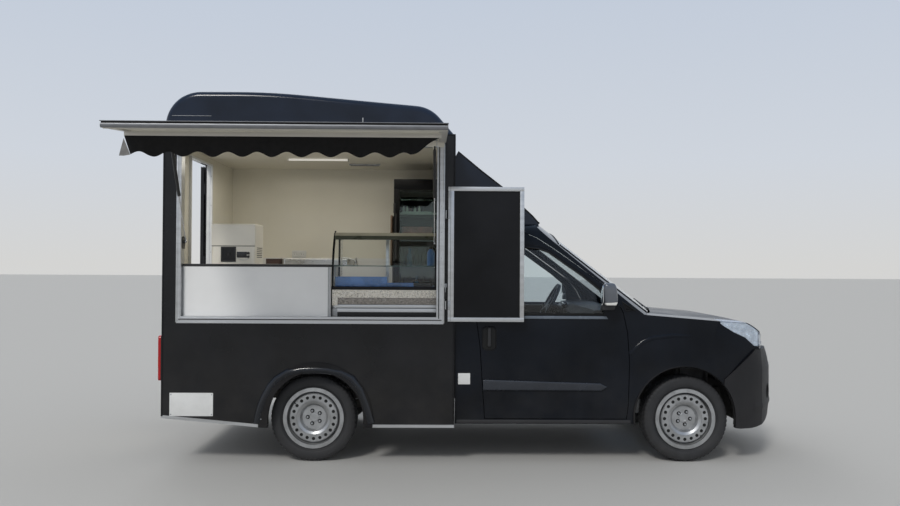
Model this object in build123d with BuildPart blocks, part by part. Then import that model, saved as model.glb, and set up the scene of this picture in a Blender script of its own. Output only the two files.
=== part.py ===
"""Food truck: a small panel-van cab with a low sales box, its side hatch open.

Millimetres. +X points forward, +Y to the vehicle's left-hand side and +Z up. The origin is
on the ground, below the middle of the rear axle. The sales hatch is on the right-hand side.
"""
import os
from math import cos, hypot, radians, sin, sqrt

from build123d import *

os.makedirs("parts", exist_ok=True)

# Clearances
fit_gap = 0.3          # between pieces of different bodies that bear on each other
panel_gap = 5          # visible shut lines
shaft_gap = 0.05       # radial, running pins

# Running gear
wheelbase = 2755
rear_track = 1530
front_track = 1510
tyre_radius = 318
tyre_width = 195
tyre_shoulder = 72
lip_radius = 223
bead_radius = 205
well_radius = 185
rim_width = 180
rim_wall = 9
disc_offset = 30       # inner face of the wheel disc, outboard of the wheel's middle
disc_wall = 10
vent_holes = 20
vent_radius = 9
vent_circle = 150
spigot_radius = 30
lug_holes = 5
lug_radius = 7
lug_circle = 49
hub_flange_radius = 66
hub_flange = 14
drum_radius = 125
kingpin_inset = 140    # kingpin axis, inboard of the wheel's middle
strut_tube_radius = 25
axle_tube_radius = 42

# Frame
rail_inner = 380
rail_width = 60
rail_bottom = 400
rail_top = 500
rail_front = wheelbase + 545
crossmember = 60
carrier_bottom = 230
carrier_height = 34
tower_bottom = 700
tower_height = 60
towing_eye_radius = 8
towing_eye_side = 300
towing_eye_rise = 40   # above the rails' lower faces
jack_pad_x = 800
jack_pad_length = 120
jack_pad_height = 10

# Engine, as one block
engine_length = 560
engine_width = 620
engine_height = 560

# Sales box
box_rear = -1088
box_front = 1035
box_half = 950
side_wall = 30
end_wall = 42
wall_top = 2400
floor_top = 560
ceiling_bottom = 2354
ceiling = 26
skirt_bottom = 290
skirt_rear_bottom = 355
skirt_rail = 22
cap_top = 2712
cap_wall = 18
cap_tail_radius = 260
cap_brow_radius = 250
cap_edge_radius = 50

# Wheel openings of the box
arch_middle = 30
arch_radius = 345
arch_rise = 30
flare_width = 68
flare_stand = 16
wheel_box_inner = 620
wheel_box_top = 745
wheel_box_wall = 15

# Sales hatch
hatch_rear = -983
hatch_front = 953
hatch_bottom = 1026
hatch_top = 2346
frame_rear = 28
frame_front = 52
frame_sill = 44
frame_head = 30
frame_depth = 80
frame_sill_depth = 40
flap_length = 1340
flap_thickness = 36
flap_overhang = 12
flap_droop = 5.4
flap_axis_height = 2318
flap_stand = 35        # shut flap's inner face outboard of the side wall
flap_rim = 50
hinge_radius = 7
flap_axis_stand = hinge_radius + fit_gap
valance_reach = 1005   # along the flap, from the hinge axis
valance_top = (-990, 926)
valance_hem = (-950, 740)
valance_drop = 143
valance_rise = 30      # of the hem, from the rear to the front
valance_swag = 25
valance_swags = 9
valance_cloth = 4

# Gas struts of the flap
strut_reach = 280      # along the flap, from the hinge axis
strut_drop = 50        # pin below the flap's inner face
strut_foot_height = 1611
strut_foot_depth = 60  # foot pin inboard of the side wall
strut_inset = 17       # strut axis inside the hatch's clear opening
barrel_radius = 11
barrel_length = 375
barrel_neck = 20
neck_radius = 4
rod_radius = 4
rod_length = 400
pin_radius = 5
eye_radius = 9
eye_width = 10
ear = 5

# Menu board beside the hatch
board_length = 552
board_height = 978
board_bottom = 1042
board_thickness = 25
board_hinge = 975.5     # axis, in line with the board's outer face
board_hinge_stand = 35
board_hinge_radius = 5
board_axis_out = box_half + board_hinge_stand
board_hinge_height = 60
board_hinge_heights = (1130, 1790)
board_frame = 36

# Entrance door in the rear wall
entrance_right = -454
entrance_left = 140
entrance_top = 2290
entrance_leaf = 28
entrance_barrel = 6

# Kitchen
worktop_height = 1450
worktop = 18
counter_front = 905
counter_back = 430
case_rear = 127
case_front = 900
case_face = 880
case_glass_bottom = 1283
case_glass_top = 1640
case_top = 1690
case_skirt = 770
case_post = 14
case_beam = 80
case_band = 18
case_curve = (-341, 1327)     # Y and Z of the centre of the curved front
case_curve_radius = 522
glass_pane = 6
fridge_rear = 519
fridge_face = 300
fridge_top = 2205
fridge_door = 40
fridge_wall = 30
back_counter_face = 400
back_counter_front = 505
sink_x = -180
sink_depth = 150
machine_rear = -785
machine_front = -460
machine_top = 1752

# Cab
cab_rear = 1040
cab_half = 916
cab_wall = 40
cab_sill = 290
seam_half = 735        # roof, windscreen and bonnet lie inside this half width
glass_wall = 6
front_arch_x = wheelbase - 20
front_arch_height = 338
front_arch_radius = 378
bumper_wall = 55
bonnet_wall = 28
lug_depth = 24
lamp_gap = 0.6


def block(x_range, y_range, z_range, mode=Mode.ADD):
    """A straight-edged member between six planes."""
    (x0, x1), (y0, y1), (z0, z1) = x_range, y_range, z_range
    with BuildSketch(Plane.XY.offset(z0)) as base:
        with Locations(((x0 + x1) / 2, (y0 + y1) / 2)):
            Rectangle(x1 - x0, y1 - y0)
    extrude(base.sketch, amount=z1 - z0, mode=mode)


def side_profile(points, y0, y1, mode=Mode.ADD):
    """A closed outline in X and Z, extruded from y0 to y1."""
    with BuildSketch(Plane.XZ.offset(-y1)) as outline:
        with BuildLine():
            Polyline(*points, close=True)
        make_face()
    extrude(outline.sketch, amount=y1 - y0, mode=mode)


def save(piece, name):
    piece.part.label = name
    export_step(piece.part, "parts/" + name + ".step")


def both_sides(make, name):
    """Makes the right-hand piece and its mirror image on the left."""
    with BuildPart() as right:
        make()
    save(right, name + "_right")
    with BuildPart() as left:
        add(mirror(right.part, about=Plane.XZ, mode=Mode.PRIVATE))
    save(left, name + "_left")


# Wheels
def rim_section(plane):
    """Half section of a pressed steel wheel: x is outboard, y is the radius."""
    half = rim_width / 2
    inner = well_radius - rim_wall
    with BuildSketch(plane) as section:
        with BuildLine():
            Polyline(
                (half, lip_radius),
                (half - 8, lip_radius),
                (half - 9, bead_radius),
                (50, bead_radius - 2),
                (34, well_radius),
                (-34, well_radius),
                (-50, bead_radius - 2),
                (9 - half, bead_radius),
                (8 - half, lip_radius),
                (-half, lip_radius),
                (-half, bead_radius - rim_wall),
                (-55, bead_radius - rim_wall - 2),
                (-38, inner),
                (disc_offset - 14, inner),
                (62, 142),
                (62, 118),
                (disc_offset, 92),
                (disc_offset, spigot_radius),
                (disc_offset + disc_wall, spigot_radius),
                (disc_offset + disc_wall, 88),
                (disc_offset + 34, 104),
                (74, 122),
                (74, 144),
                (disc_offset + 4, inner),
                (42, inner),
                (62, bead_radius - rim_wall - 2),
                (half, bead_radius - rim_wall),
                close=True,
            )
        make_face()
    return section.sketch


tyre_sides = 64
tyre_seat = rim_width / 2 - 9 - fit_gap
tyre_rings = (
    # distance from the tyre's middle, radius of one half, from the bead to the tread's middle
    (tyre_seat, lip_radius + 4),
    (tyre_width / 2, 262),
    (tyre_width / 2 - 3, 290),
    (tyre_shoulder, tyre_radius - 4),
    (0, tyre_radius),
)


wheels = (
    # name, axle x, half track, outboard direction in Y, first bolt hole in degrees
    ("front_right", wheelbase, front_track / 2, -1, -7),
    ("front_left", wheelbase, front_track / 2, 1, 0),
    ("rear_right", 0, rear_track / 2, -1, 180),
    ("rear_left", 0, rear_track / 2, 1, 0),
)
for name, axle_x, half_track, side, first_lug in wheels:
    centre = (axle_x, side * half_track, tyre_radius)
    section = Plane(origin=centre, x_dir=(0, side, 0), z_dir=(1, 0, 0))
    outer_face = Plane(origin=centre, x_dir=(1, 0, 0), z_dir=(0, side, 0))
    spin = Axis(centre, (0, 1, 0))
    with BuildPart() as rim:
        revolve(rim_section(section), axis=spin)
        with BuildSketch(outer_face):
            with PolarLocations(vent_circle, vent_holes):
                Circle(vent_radius)
            with PolarLocations(lug_circle, lug_holes, start_angle=first_lug):
                Circle(lug_radius)
        extrude(amount=rim_width / 2, mode=Mode.SUBTRACT)
    save(rim, "rim_" + name)
    with BuildPart() as tyre:
        rings = [(-across, radius) for across, radius in tyre_rings] + list(reversed(tyre_rings[:-1]))
        for across, radius in rings:
            with BuildSketch(outer_face.offset(across)):
                RegularPolygon(radius, tyre_sides)
        loft(ruled=True)
        with BuildSketch(outer_face.offset(-tyre_width)):
            RegularPolygon(bead_radius + fit_gap, tyre_sides, major_radius=False)
        extrude(amount=2 * tyre_width, mode=Mode.SUBTRACT)
    save(tyre, "tyre_" + name)


# Frame: two rails, crossmembers, outriggers, front axle carrier and strut towers
rail_outer = rail_inner + rail_width
carrier_top = carrier_bottom + carrier_height
kingpin_y = front_track / 2 - kingpin_inset
with BuildPart() as chassis:
    for side in (-1, 1):
        rail_y = sorted((side * rail_inner, side * rail_outer))
        block((box_rear + end_wall, rail_front), rail_y, (rail_bottom, rail_top))
        block((wheelbase - 50, wheelbase + 50), rail_y, (carrier_bottom, rail_bottom))
        block((wheelbase - 60, wheelbase + 60), rail_y, (rail_top, tower_bottom))
        tower_y = sorted((side * rail_inner, side * (kingpin_y + 40)))
        block((wheelbase - 60, wheelbase + 60), tower_y, (tower_bottom, tower_bottom + tower_height))
        arm_y = sorted((side * rail_inner, side * (kingpin_y + 20)))
        block((wheelbase - 28, wheelbase + 28), arm_y, (carrier_bottom, carrier_top))
    for member_x in (-980, -520, 480, 980, cab_rear + 660, wheelbase - 515, rail_front - crossmember):
        block((member_x, member_x + crossmember), (-rail_outer, rail_outer), (rail_bottom + 20, rail_top))
    for outrigger_x in (-980, -520, 480, 960):
        outrigger = (outrigger_x, outrigger_x + crossmember)
        block(outrigger, (side_wall - box_half, box_half - side_wall), (rail_top - 50, rail_top))
    for outrigger_x in (cab_rear + 160, wheelbase - 595):
        for side in (-1, 1):
            arm_y = sorted((side * (rail_outer - 10), side * 845))
            arm_z = (cab_sill + cab_wall + fit_gap, rail_bottom + 30)
            block((outrigger_x, outrigger_x + crossmember), arm_y, arm_z)
    for carrier_x in (wheelbase - 50, wheelbase + 160):
        block((carrier_x, carrier_x + 100), (-rail_outer, rail_outer), (carrier_bottom, carrier_top))
    for side in (-1, 1):
        rail_y = sorted((side * rail_inner, side * rail_outer))
        block((wheelbase - 50, wheelbase + 260), rail_y, (carrier_bottom, carrier_top))
        pad_x = (jack_pad_x - jack_pad_length / 2, jack_pad_x + jack_pad_length / 2)
        block(pad_x, rail_y, (rail_bottom - jack_pad_height, rail_bottom))
    with BuildSketch(Plane.YZ.offset(rail_front)):
        with Locations((-towing_eye_side, rail_bottom + towing_eye_rise)):
            Circle(towing_eye_radius)
    extrude(amount=-crossmember, mode=Mode.SUBTRACT)
save(chassis, "chassis_frame")


def hub(half_track, axle_x, side, inner_y):
    """Drum, wheel flange and spigot outboard of inner_y."""
    disc_y = half_track + disc_offset
    for start, reach, radius in (
        # inboard end, outboard end, radius
        (inner_y, disc_y - hub_flange - 6, drum_radius),
        (disc_y - hub_flange - 6, disc_y - fit_gap, hub_flange_radius),
        (disc_y - fit_gap, disc_y + disc_wall + 4, spigot_radius - shaft_gap),
    ):
        with BuildSketch(Plane.XZ.offset(-side * start)) as step:
            with Locations((axle_x, tyre_radius)):
                Circle(radius)
        extrude(step.sketch, amount=-side * (reach - start))


# Rear axle: beam, trailing arms, springs and hubs
drum_inner = rear_track / 2 - 95
with BuildPart() as rear_axle:
    with BuildSketch(Plane.XZ.offset(-drum_inner)):
        with Locations((0, tyre_radius)):
            Circle(axle_tube_radius)
    extrude(amount=2 * drum_inner)
    for side in (-1, 1):
        hub(rear_track / 2, 0, side, drum_inner)
        arm_y = sorted((side * (rail_inner + 5), side * (rail_outer - 5)))
        side_profile(((0, 290), (40, 350), (380, rail_bottom), (440, rail_bottom), (440, 350), (0, 280)), *arm_y)
        with BuildSketch(Plane.XY.offset(tyre_radius)):
            with Locations((0, side * (rail_inner + rail_width / 2))):
                Circle(28)
        extrude(amount=rail_bottom - tyre_radius)
save(rear_axle, "rear_axle")

# Steering knuckles with the strut tubes, turning about upright kingpins
for side, name in ((-1, "knuckle_right"), (1, "knuckle_left")):
    with BuildPart() as knuckle:
        upright_y = sorted((side * (kingpin_y - 26), side * (kingpin_y + 22)))
        block((wheelbase - 34, wheelbase + 34), upright_y, (carrier_top + fit_gap, 470))
        with BuildSketch(Plane.XY.offset(460)):
            with Locations((wheelbase, side * kingpin_y)):
                Circle(strut_tube_radius)
        extrude(amount=tower_bottom - fit_gap - 460)
        with BuildSketch(Plane.XZ.offset(-side * kingpin_y)):
            with Locations((wheelbase, tyre_radius)):
                Circle(axle_tube_radius)
        extrude(amount=-side * (kingpin_inset - 60))
        hub(front_track / 2, wheelbase, side, front_track / 2 - 65)
    save(knuckle, name)

# Engine and gearbox as one block on the carrier
with BuildPart() as engine:
    with BuildSketch(Plane.XY.offset(carrier_top)):
        with Locations((wheelbase + 75, 0)):
            RectangleRounded(engine_length, engine_width, 60)
    extrude(amount=engine_height)
    chamfer(engine.faces().sort_by(Axis.Z)[-1].edges(), 40)
save(engine, "engine_block")

# Fuel tank hung between the rails, below the cab
with BuildPart() as tank:
    with BuildSketch(Plane.XY.offset(rail_top - 260)):
        with Locations((cab_rear + 360, 0)):
            RectangleRounded(500, 2 * rail_inner, 50)
    extrude(amount=200)
    with BuildSketch(Plane.XY.offset(rail_top - 60)):
        with Locations((cab_rear + 360, 0)):
            Rectangle(420, 40)
    extrude(amount=60)
save(tank, "fuel_tank")


# Cab body: an upper and a lower form, each the common part of its side, plan and end views
screen_top = (wheelbase - 960, 1737)
screen_slope = 37.4
screen_crown = 3400
bonnet_rear = (wheelbase - 155, 1106)
bonnet_slope = 4.6
bonnet_crown = 16000
nose_x = wheelbase + 775
bumper_nose_x = wheelbase + 857


def from_axle(points):
    """Points whose X is given ahead of the front axle."""
    return [(wheelbase + x, z) for x, z in points]


def crown_sketch(top, slope, radius):
    """End view along a slope: everything below an arc that peaks at the top point."""
    reach = 1100
    sag = radius - (radius ** 2 - reach ** 2) ** 0.5
    down = (cos(radians(slope)), 0, -sin(radians(slope)))
    with BuildSketch(Plane(origin=(top[0], 0, top[1]), x_dir=(0, 1, 0), z_dir=down)) as crown:
        with BuildLine():
            ThreePointArc((-reach, -sag), (0, 0), (reach, -sag))
            Polyline((reach, -sag), (reach, -3500), (-reach, -3500), (-reach, -sag))
        make_face()
    return crown.sketch


def upper_body(inset):
    """Roof, windscreen and side windows, every face moved in by the inset."""
    slope = radians(screen_slope)
    top = (screen_top[0] - inset * sin(slope), screen_top[1] - inset * cos(slope))
    foot_x = wheelbase + 35
    (brow_x, temple_x, crown_x) = (wheelbase - 1060, wheelbase - 1165, wheelbase - 1355)
    foot_z = screen_top[1] - (foot_x - screen_top[0]) * sin(slope) / cos(slope)
    with BuildPart() as form:
        with BuildSketch(Plane.XZ):
            with BuildLine():
                Line((cab_rear, 900), (cab_rear, 1808))
                ThreePointArc((cab_rear, 1808), (crown_x, 1812), (temple_x, 1797))
                ThreePointArc((temple_x, 1797), (brow_x, 1775), screen_top)
                Polyline(screen_top, (foot_x, foot_z), (foot_x, 900), (cab_rear, 900))
            make_face()
            if inset:
                offset(amount=-inset, kind=Kind.INTERSECTION)
        extrude(amount=1000, both=True)
        with BuildSketch(Plane.YZ.offset(cab_rear - 100)):
            with BuildLine():
                Polyline((-809, 1612), (-903, 1165), (-912, 800), (912, 800), (903, 1165), (809, 1612))
                ThreePointArc((809, 1612), (748, 1724), (600, 1768))
                ThreePointArc((600, 1768), (0, 1814), (-600, 1768))
                ThreePointArc((-600, 1768), (-748, 1724), (-809, 1612))
            make_face()
            if inset:
                offset(amount=-inset, kind=Kind.INTERSECTION)
        extrude(amount=3000, mode=Mode.INTERSECT)
        extrude(crown_sketch(top, screen_slope, screen_crown), amount=2500, both=True, mode=Mode.INTERSECT)
    return form.part


def lower_body(inset):
    """Body sides, wings, bonnet and nose, every face moved in by the inset."""
    slope = radians(bonnet_slope)
    top = (bonnet_rear[0] - inset * sin(slope), bonnet_rear[1] - inset * cos(slope))
    with BuildPart() as form:
        with BuildSketch(Plane.XZ):
            with BuildLine():
                Polyline((cab_rear, cab_sill), (cab_rear, 1190), bonnet_rear, *from_axle(((305, 1069),)))
                ThreePointArc(*from_axle(((305, 1069), (505, 1010), (645, 890))))
                Polyline(*from_axle(((645, 890), (715, 780), (735, 500), (665, cab_sill))), (cab_rear, cab_sill))
            make_face()
            if inset:
                offset(amount=-inset, kind=Kind.INTERSECTION)
        extrude(amount=1000, both=True)
        with BuildSketch(Plane.XY):
            with BuildLine():
                rear = (cab_rear - 90, cab_half)
                side_bow = from_axle(((-55, cab_half), (305, 894), (565, 806)))
                far_bow = from_axle(((565, -806), (305, -894), (-55, -cab_half)))
                Polyline(far_bow[2], (rear[0], -rear[1]), rear, side_bow[0])
                ThreePointArc(*side_bow)
                ThreePointArc(side_bow[2], (nose_x, 0), far_bow[0])
                ThreePointArc(*far_bow)
            make_face()
            if inset:
                offset(amount=-inset, kind=Kind.INTERSECTION)
        extrude(amount=2000, mode=Mode.INTERSECT)
        with BuildSketch(Plane.YZ.offset(cab_rear - 100)):
            with BuildLine():
                Line((-890, 100), (890, 100))
                ThreePointArc((890, 100), (cab_half, 720), (896, 1260))
                Line((896, 1260), (-896, 1260))
                ThreePointArc((-896, 1260), (-cab_half, 720), (-890, 100))
            make_face()
            if inset:
                offset(amount=-inset, kind=Kind.INTERSECTION)
        extrude(amount=3000, mode=Mode.INTERSECT)
        extrude(crown_sketch(top, bonnet_slope, bonnet_crown), amount=2500, both=True, mode=Mode.INTERSECT)
    return form.part


upper_outer = upper_body(0)
upper_inner = upper_body(cab_wall)
lower_outer = lower_body(0)
lower_inner = lower_body(cab_wall)
with BuildPart() as cab_outer:
    add(upper_outer)
    add(lower_outer)
with BuildPart() as cab_inner:
    add(upper_inner)
    add(lower_inner)
with BuildPart() as cab_shell:
    add(cab_outer.part)
    add(cab_inner.part, mode=Mode.SUBTRACT)

# Side outlines of the cab: X ahead of the front axle, and Z
door_outline = from_axle((
    (-1570, 1165), (-1570, 1500), (-1555, 1650), (-1515, 1696), (-1195, 1692), (-1110, 1658), (-1000, 1588),
    (-925, 1536), (-780, 1430), (-620, 1312), (-540, 1220), (-482, 1110), (-450, 960), (-436, 740), (-443, 440),
    (-455, 330),
    (-1493, 330), (-1505, 480), (-1530, 860), (-1555, 1040),
))
window_outline = from_axle((
    (-1493, 1106), (-1493, 1535), (-1465, 1590), (-1173, 1588), (-1090, 1578), (-1020, 1553), (-918, 1480),
    (-776, 1381), (-650, 1278), (-624, 1230), (-622, 1092),
))
lamp_corner = from_axle((
    (240, 1030), (240, 1100), (745, 1100), (745, 880), (590, 855), (551, 928), (521, 955), (457, 983), (345, 1011),
))
quarter_outline = from_axle(((-458, 1126), (-488, 1188), (-392, 1126)))
lamp_outline = from_axle((
    (240, 1032), (345, 1018), (457, 990), (521, 962), (551, 935), (590, 862), (745, 900), (745, 842),
    (525, 858), (442, 925), (342, 970), (262, 1016),
))
bumper_outline = from_axle((
    (265, 440), (273, 620), (395, 725), (525, 835), (765, 828), (805, 806), (847, 745), (857, 660),
    (857, 500), (829, 455), (829, 370), (857, 318), (848, 290), (665, 256), (395, 256), (285, 268),
))


def wheel_opening(radius_extra=0):
    with BuildSketch(Plane.XZ.offset(-1000)) as opening:
        with Locations((front_arch_x, front_arch_height)):
            Circle(front_arch_radius + radius_extra)
        with Locations((front_arch_x, front_arch_height / 2 - 60)):
            Rectangle(2 * (front_arch_radius + radius_extra), front_arch_height + 120)
    return opening.sketch


def outline_sketch(points, grow=0):
    with BuildSketch(Plane.XZ.offset(-1000)) as outline:
        with BuildLine():
            Polyline(*points, close=True)
        make_face()
        if grow:
            offset(amount=grow, kind=Kind.INTERSECTION)
    return outline.sketch


def lamp_space(grow=0):
    """Room of both headlamps; outboard of the bonnet it reaches up over the wing's edge."""
    with BuildPart() as corners:
        extrude(outline_sketch(lamp_corner, grow + 0.1), amount=2000)
        block((wheelbase + 145, wheelbase + 845), (-seam_half, seam_half), (800, 1200), mode=Mode.SUBTRACT)
    with BuildPart() as room:
        extrude(outline_sketch(lamp_outline, grow), amount=2000)
        add(corners.part)
    return room.part


# Panels inside the roof seam: roof, windscreen and bonnet share one half width
header_x = wheelbase - 935
with BuildPart() as cab_roof:
    add(upper_outer)
    add(upper_inner, mode=Mode.SUBTRACT)
    block((cab_rear - 1, header_x), (-seam_half, seam_half), (1400, 1900), mode=Mode.INTERSECT)
save(cab_roof, "cab_roof")

with BuildPart() as cab_glass:
    add(upper_outer)
    add(upper_body(glass_wall), mode=Mode.SUBTRACT)
    glass_y = seam_half - fit_gap
    block((header_x + fit_gap, wheelbase + 40), (-glass_y, glass_y), (1000, 1900), mode=Mode.INTERSECT)
    add(lower_body(-panel_gap), mode=Mode.SUBTRACT)
save(cab_glass, "windscreen")

bonnet_half = seam_half - panel_gap
with BuildPart() as bonnet:
    add(lower_outer)
    add(lower_body(bonnet_wall), mode=Mode.SUBTRACT)
    block((wheelbase - 315, wheelbase + 845), (-bonnet_half, bonnet_half), (935, 1250), mode=Mode.INTERSECT)
    add(upper_body(-panel_gap), mode=Mode.SUBTRACT)
    extrude(outline_sketch(lamp_outline, lamp_gap), amount=2000, mode=Mode.SUBTRACT)
save(bonnet, "bonnet")


def side_blank():
    add(cab_shell.part)
    block((cab_rear - 1, wheelbase + 845), (-1000, -seam_half), (cab_sill - 1, 1900), mode=Mode.INTERSECT)


lug_reach, lug_root, lug_foot = (wheelbase - 465, wheelbase - 427, wheelbase - 405)


def door_lug(height):
    """A hinge lug on the cab side that reaches behind the door's front edge."""
    with BuildPart() as lug:
        add(lower_body(cab_wall + fit_gap))
        add(lower_body(cab_wall + lug_depth), mode=Mode.SUBTRACT)
        block((lug_reach, lug_foot), (-1000, -seam_half), (height, height + 70), mode=Mode.INTERSECT)
    with BuildPart() as root:
        add(lower_body(cab_wall - 1))
        add(lower_body(cab_wall + lug_depth), mode=Mode.SUBTRACT)
        block((lug_root, lug_foot), (-1000, -seam_half), (height, height + 70), mode=Mode.INTERSECT)
    return [lug.part, root.part]


with BuildPart() as bonnet_landing:
    add(lower_body(bonnet_wall + fit_gap))
    add(lower_body(bonnet_wall + 14), mode=Mode.SUBTRACT)
    block((wheelbase - 135, wheelbase + 205), (-seam_half - 2, 20 - seam_half), (960, 1250), mode=Mode.INTERSECT)


def cab_side():
    side_blank()
    extrude(outline_sketch(door_outline, panel_gap), amount=2000, mode=Mode.SUBTRACT)
    add(lamp_space(lamp_gap), mode=Mode.SUBTRACT)
    extrude(outline_sketch(bumper_outline, panel_gap), amount=2000, mode=Mode.SUBTRACT)
    extrude(outline_sketch(quarter_outline), amount=2000, mode=Mode.SUBTRACT)
    extrude(wheel_opening(), amount=2000, mode=Mode.SUBTRACT)
    for lug_height in (560, 960):
        add(door_lug(lug_height))
    add(bonnet_landing.part)


both_sides(cab_side, "cab_side")


def cab_door():
    side_blank()
    extrude(outline_sketch(door_outline), amount=2000, mode=Mode.INTERSECT)
    extrude(outline_sketch(window_outline), amount=2000, mode=Mode.SUBTRACT)


both_sides(cab_door, "cab_door")

side_glass_outer = upper_body(15)
side_glass_inner = upper_body(15 + glass_wall)


def side_glass():
    add(side_glass_outer)
    add(side_glass_inner, mode=Mode.SUBTRACT)
    block((cab_rear, wheelbase + 245), (-1000, -seam_half), (1100, 1800), mode=Mode.INTERSECT)
    extrude(outline_sketch(window_outline, -fit_gap), amount=2000, mode=Mode.INTERSECT)


both_sides(side_glass, "door_glass")

firewall_x = wheelbase - 435
bulkhead_x = cab_rear + cab_wall + lug_depth + 1
with BuildPart() as cab_floor:
    with BuildSketch(Plane.XZ.offset(-900)):
        with BuildLine():
            Polyline(
                (cab_rear, rail_top), (firewall_x + 25, rail_top), (firewall_x + 25, 1120), (firewall_x, 1120),
                (firewall_x, rail_top + 25),
                (bulkhead_x + 25, rail_top + 25), (bulkhead_x + 25, 1600), (bulkhead_x, 1600),
                (bulkhead_x, rail_top + 25), (cab_rear, rail_top + 25), close=True,
            )
        make_face()
    extrude(amount=1800)
    with BuildPart(mode=Mode.PRIVATE) as cab_space:
        add(upper_body(cab_wall + lug_depth + 1))
        add(lower_body(cab_wall + lug_depth + 1))
    add(cab_space.part, mode=Mode.INTERSECT)
save(cab_floor, "cab_floor")

with BuildPart() as dashboard:
    with BuildSketch(Plane.XZ.offset(-850)):
        with BuildLine():
            Polyline(*from_axle(((-436, 720), (-436, 1118), (-495, 1128), (-675, 1120), (-735, 1060), (-715, 920),
                                 (-615, 840), (-605, 720))), close=True)
        make_face()
    extrude(amount=1700)
    add(cab_space.part, mode=Mode.INTERSECT)
    wheel_middle = (wheelbase - 865, 370, 1125)
    wheel_tilt = 62
    column = (cos(radians(90 - wheel_tilt)), 0, -sin(radians(90 - wheel_tilt)))
    wheel_plane = Plane(origin=wheel_middle, x_dir=(0, 1, 0), z_dir=column)
    with BuildSketch(wheel_plane):
        Circle(24)
    extrude(amount=200)
    with BuildSketch(wheel_plane):
        Circle(188)
        Circle(158, mode=Mode.SUBTRACT)
        with PolarLocations(0, 3, start_angle=90):
            with Locations((85, 0)):
                Rectangle(170, 34)
        Circle(58)
    extrude(amount=26)
save(dashboard, "dashboard")

with BuildPart() as seats:
    for seat_y in (-380, 380):
        with BuildSketch(Plane.XZ.offset(-seat_y - 240)):
            with BuildLine():
                seat_foot = rail_top + 25
                Polyline(*from_axle(((-1425, seat_foot), (-1425, 800), (-1565, 1300), (-1525, 1340), (-1455, 1330),
                                     (-1315, 860), (-935, 870), (-895, 820), (-915, 620), (-955, seat_foot))),
                         close=True)
            make_face()
        extrude(amount=480)
save(seats, "seats")


# Nose: lamps, grille and bumper
lamp_depth = 70
with BuildPart() as headlamps:
    add(lower_outer)
    add(lower_body(lamp_depth), mode=Mode.SUBTRACT)
    add(lamp_space(), mode=Mode.INTERSECT)
    block((wheelbase + 145, wheelbase + 845), (-560, 560), (700, 1200), mode=Mode.SUBTRACT)
save(headlamps, "headlamps")

with BuildPart() as grille:
    add(lower_outer)
    add(lower_inner, mode=Mode.SUBTRACT)
    grille_y = (lamp_gap - 560, 560 - lamp_gap)
    block((wheelbase + 445, wheelbase + 845), grille_y, (838 + panel_gap, 931), mode=Mode.INTERSECT)
    with BuildSketch(Plane.YZ.offset(rail_front)):
        with GridLocations(0, 30, 1, 3):
            with Locations((0, 886)):
                SlotOverall(1000, 16)
    extrude(amount=400, mode=Mode.SUBTRACT)
save(grille, "grille")


def bumper_plan(inset):
    with BuildSketch(Plane.XY) as plan:
        with BuildLine():
            corner = (590 - inset / 2, 800 - inset)
            near = from_axle(((145, 905 - inset), (305, 900 - inset), (470, 868 - inset), corner))
            far = [(x, -y) for x, y in near]
            Polyline(far[1], far[0], near[0], near[1])
            ThreePointArc(*near[1:])
            ThreePointArc(near[3], (bumper_nose_x - inset, 0), far[3])
            ThreePointArc(far[3], far[2], far[1])
        make_face()
    return plan.sketch


with BuildPart() as bumper:
    extrude(bumper_plan(0), amount=1000)
    extrude(bumper_plan(bumper_wall), amount=1000, mode=Mode.SUBTRACT)
    with BuildPart(mode=Mode.PRIVATE) as shelf:
        extrude(bumper_plan(2), amount=1000)
        block((wheelbase + 445, wheelbase + 945), (-1000, 1000), (796, 826), mode=Mode.INTERSECT)
        add(lower_body(-panel_gap), mode=Mode.SUBTRACT)
    add(shelf.part)
    extrude(outline_sketch(bumper_outline), amount=2000, mode=Mode.INTERSECT)
    extrude(wheel_opening(), amount=2000, mode=Mode.SUBTRACT)
    with BuildSketch(Plane.YZ.offset(wheelbase + 445)):
        with Locations((0, 390)):
            SlotOverall(980, 150)
        for side in (-1, 1):
            with Locations((side * 640, 500)):
                Circle(48)
    extrude(amount=500, mode=Mode.SUBTRACT)
    for side in (-1, 1):
        stem_y = sorted((side * (rail_inner + 10), side * (rail_outer - 10)))
        block((rail_front + fit_gap, wheelbase + 755), stem_y, (470, 495))
save(bumper, "front_bumper")


def mirror_body():
    with BuildSketch(Plane.XZ.offset(1000)) as housing:
        with Locations((wheelbase - 597, 1252)):
            RectangleRounded(108, 168, 34)
    extrude(housing.sketch, amount=52, both=True)
    with BuildSketch(Plane.XZ.offset(880)) as foot:
        with BuildLine():
            Polyline(*from_axle(((-651, 1172), (-643, 1128), (-559, 1132), (-549, 1176))), close=True)
        make_face()
    extrude(foot.sketch, amount=150)
    add(upper_body(-fit_gap), mode=Mode.SUBTRACT)
    add(lower_body(-fit_gap), mode=Mode.SUBTRACT)


both_sides(mirror_body, "mirror")

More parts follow.
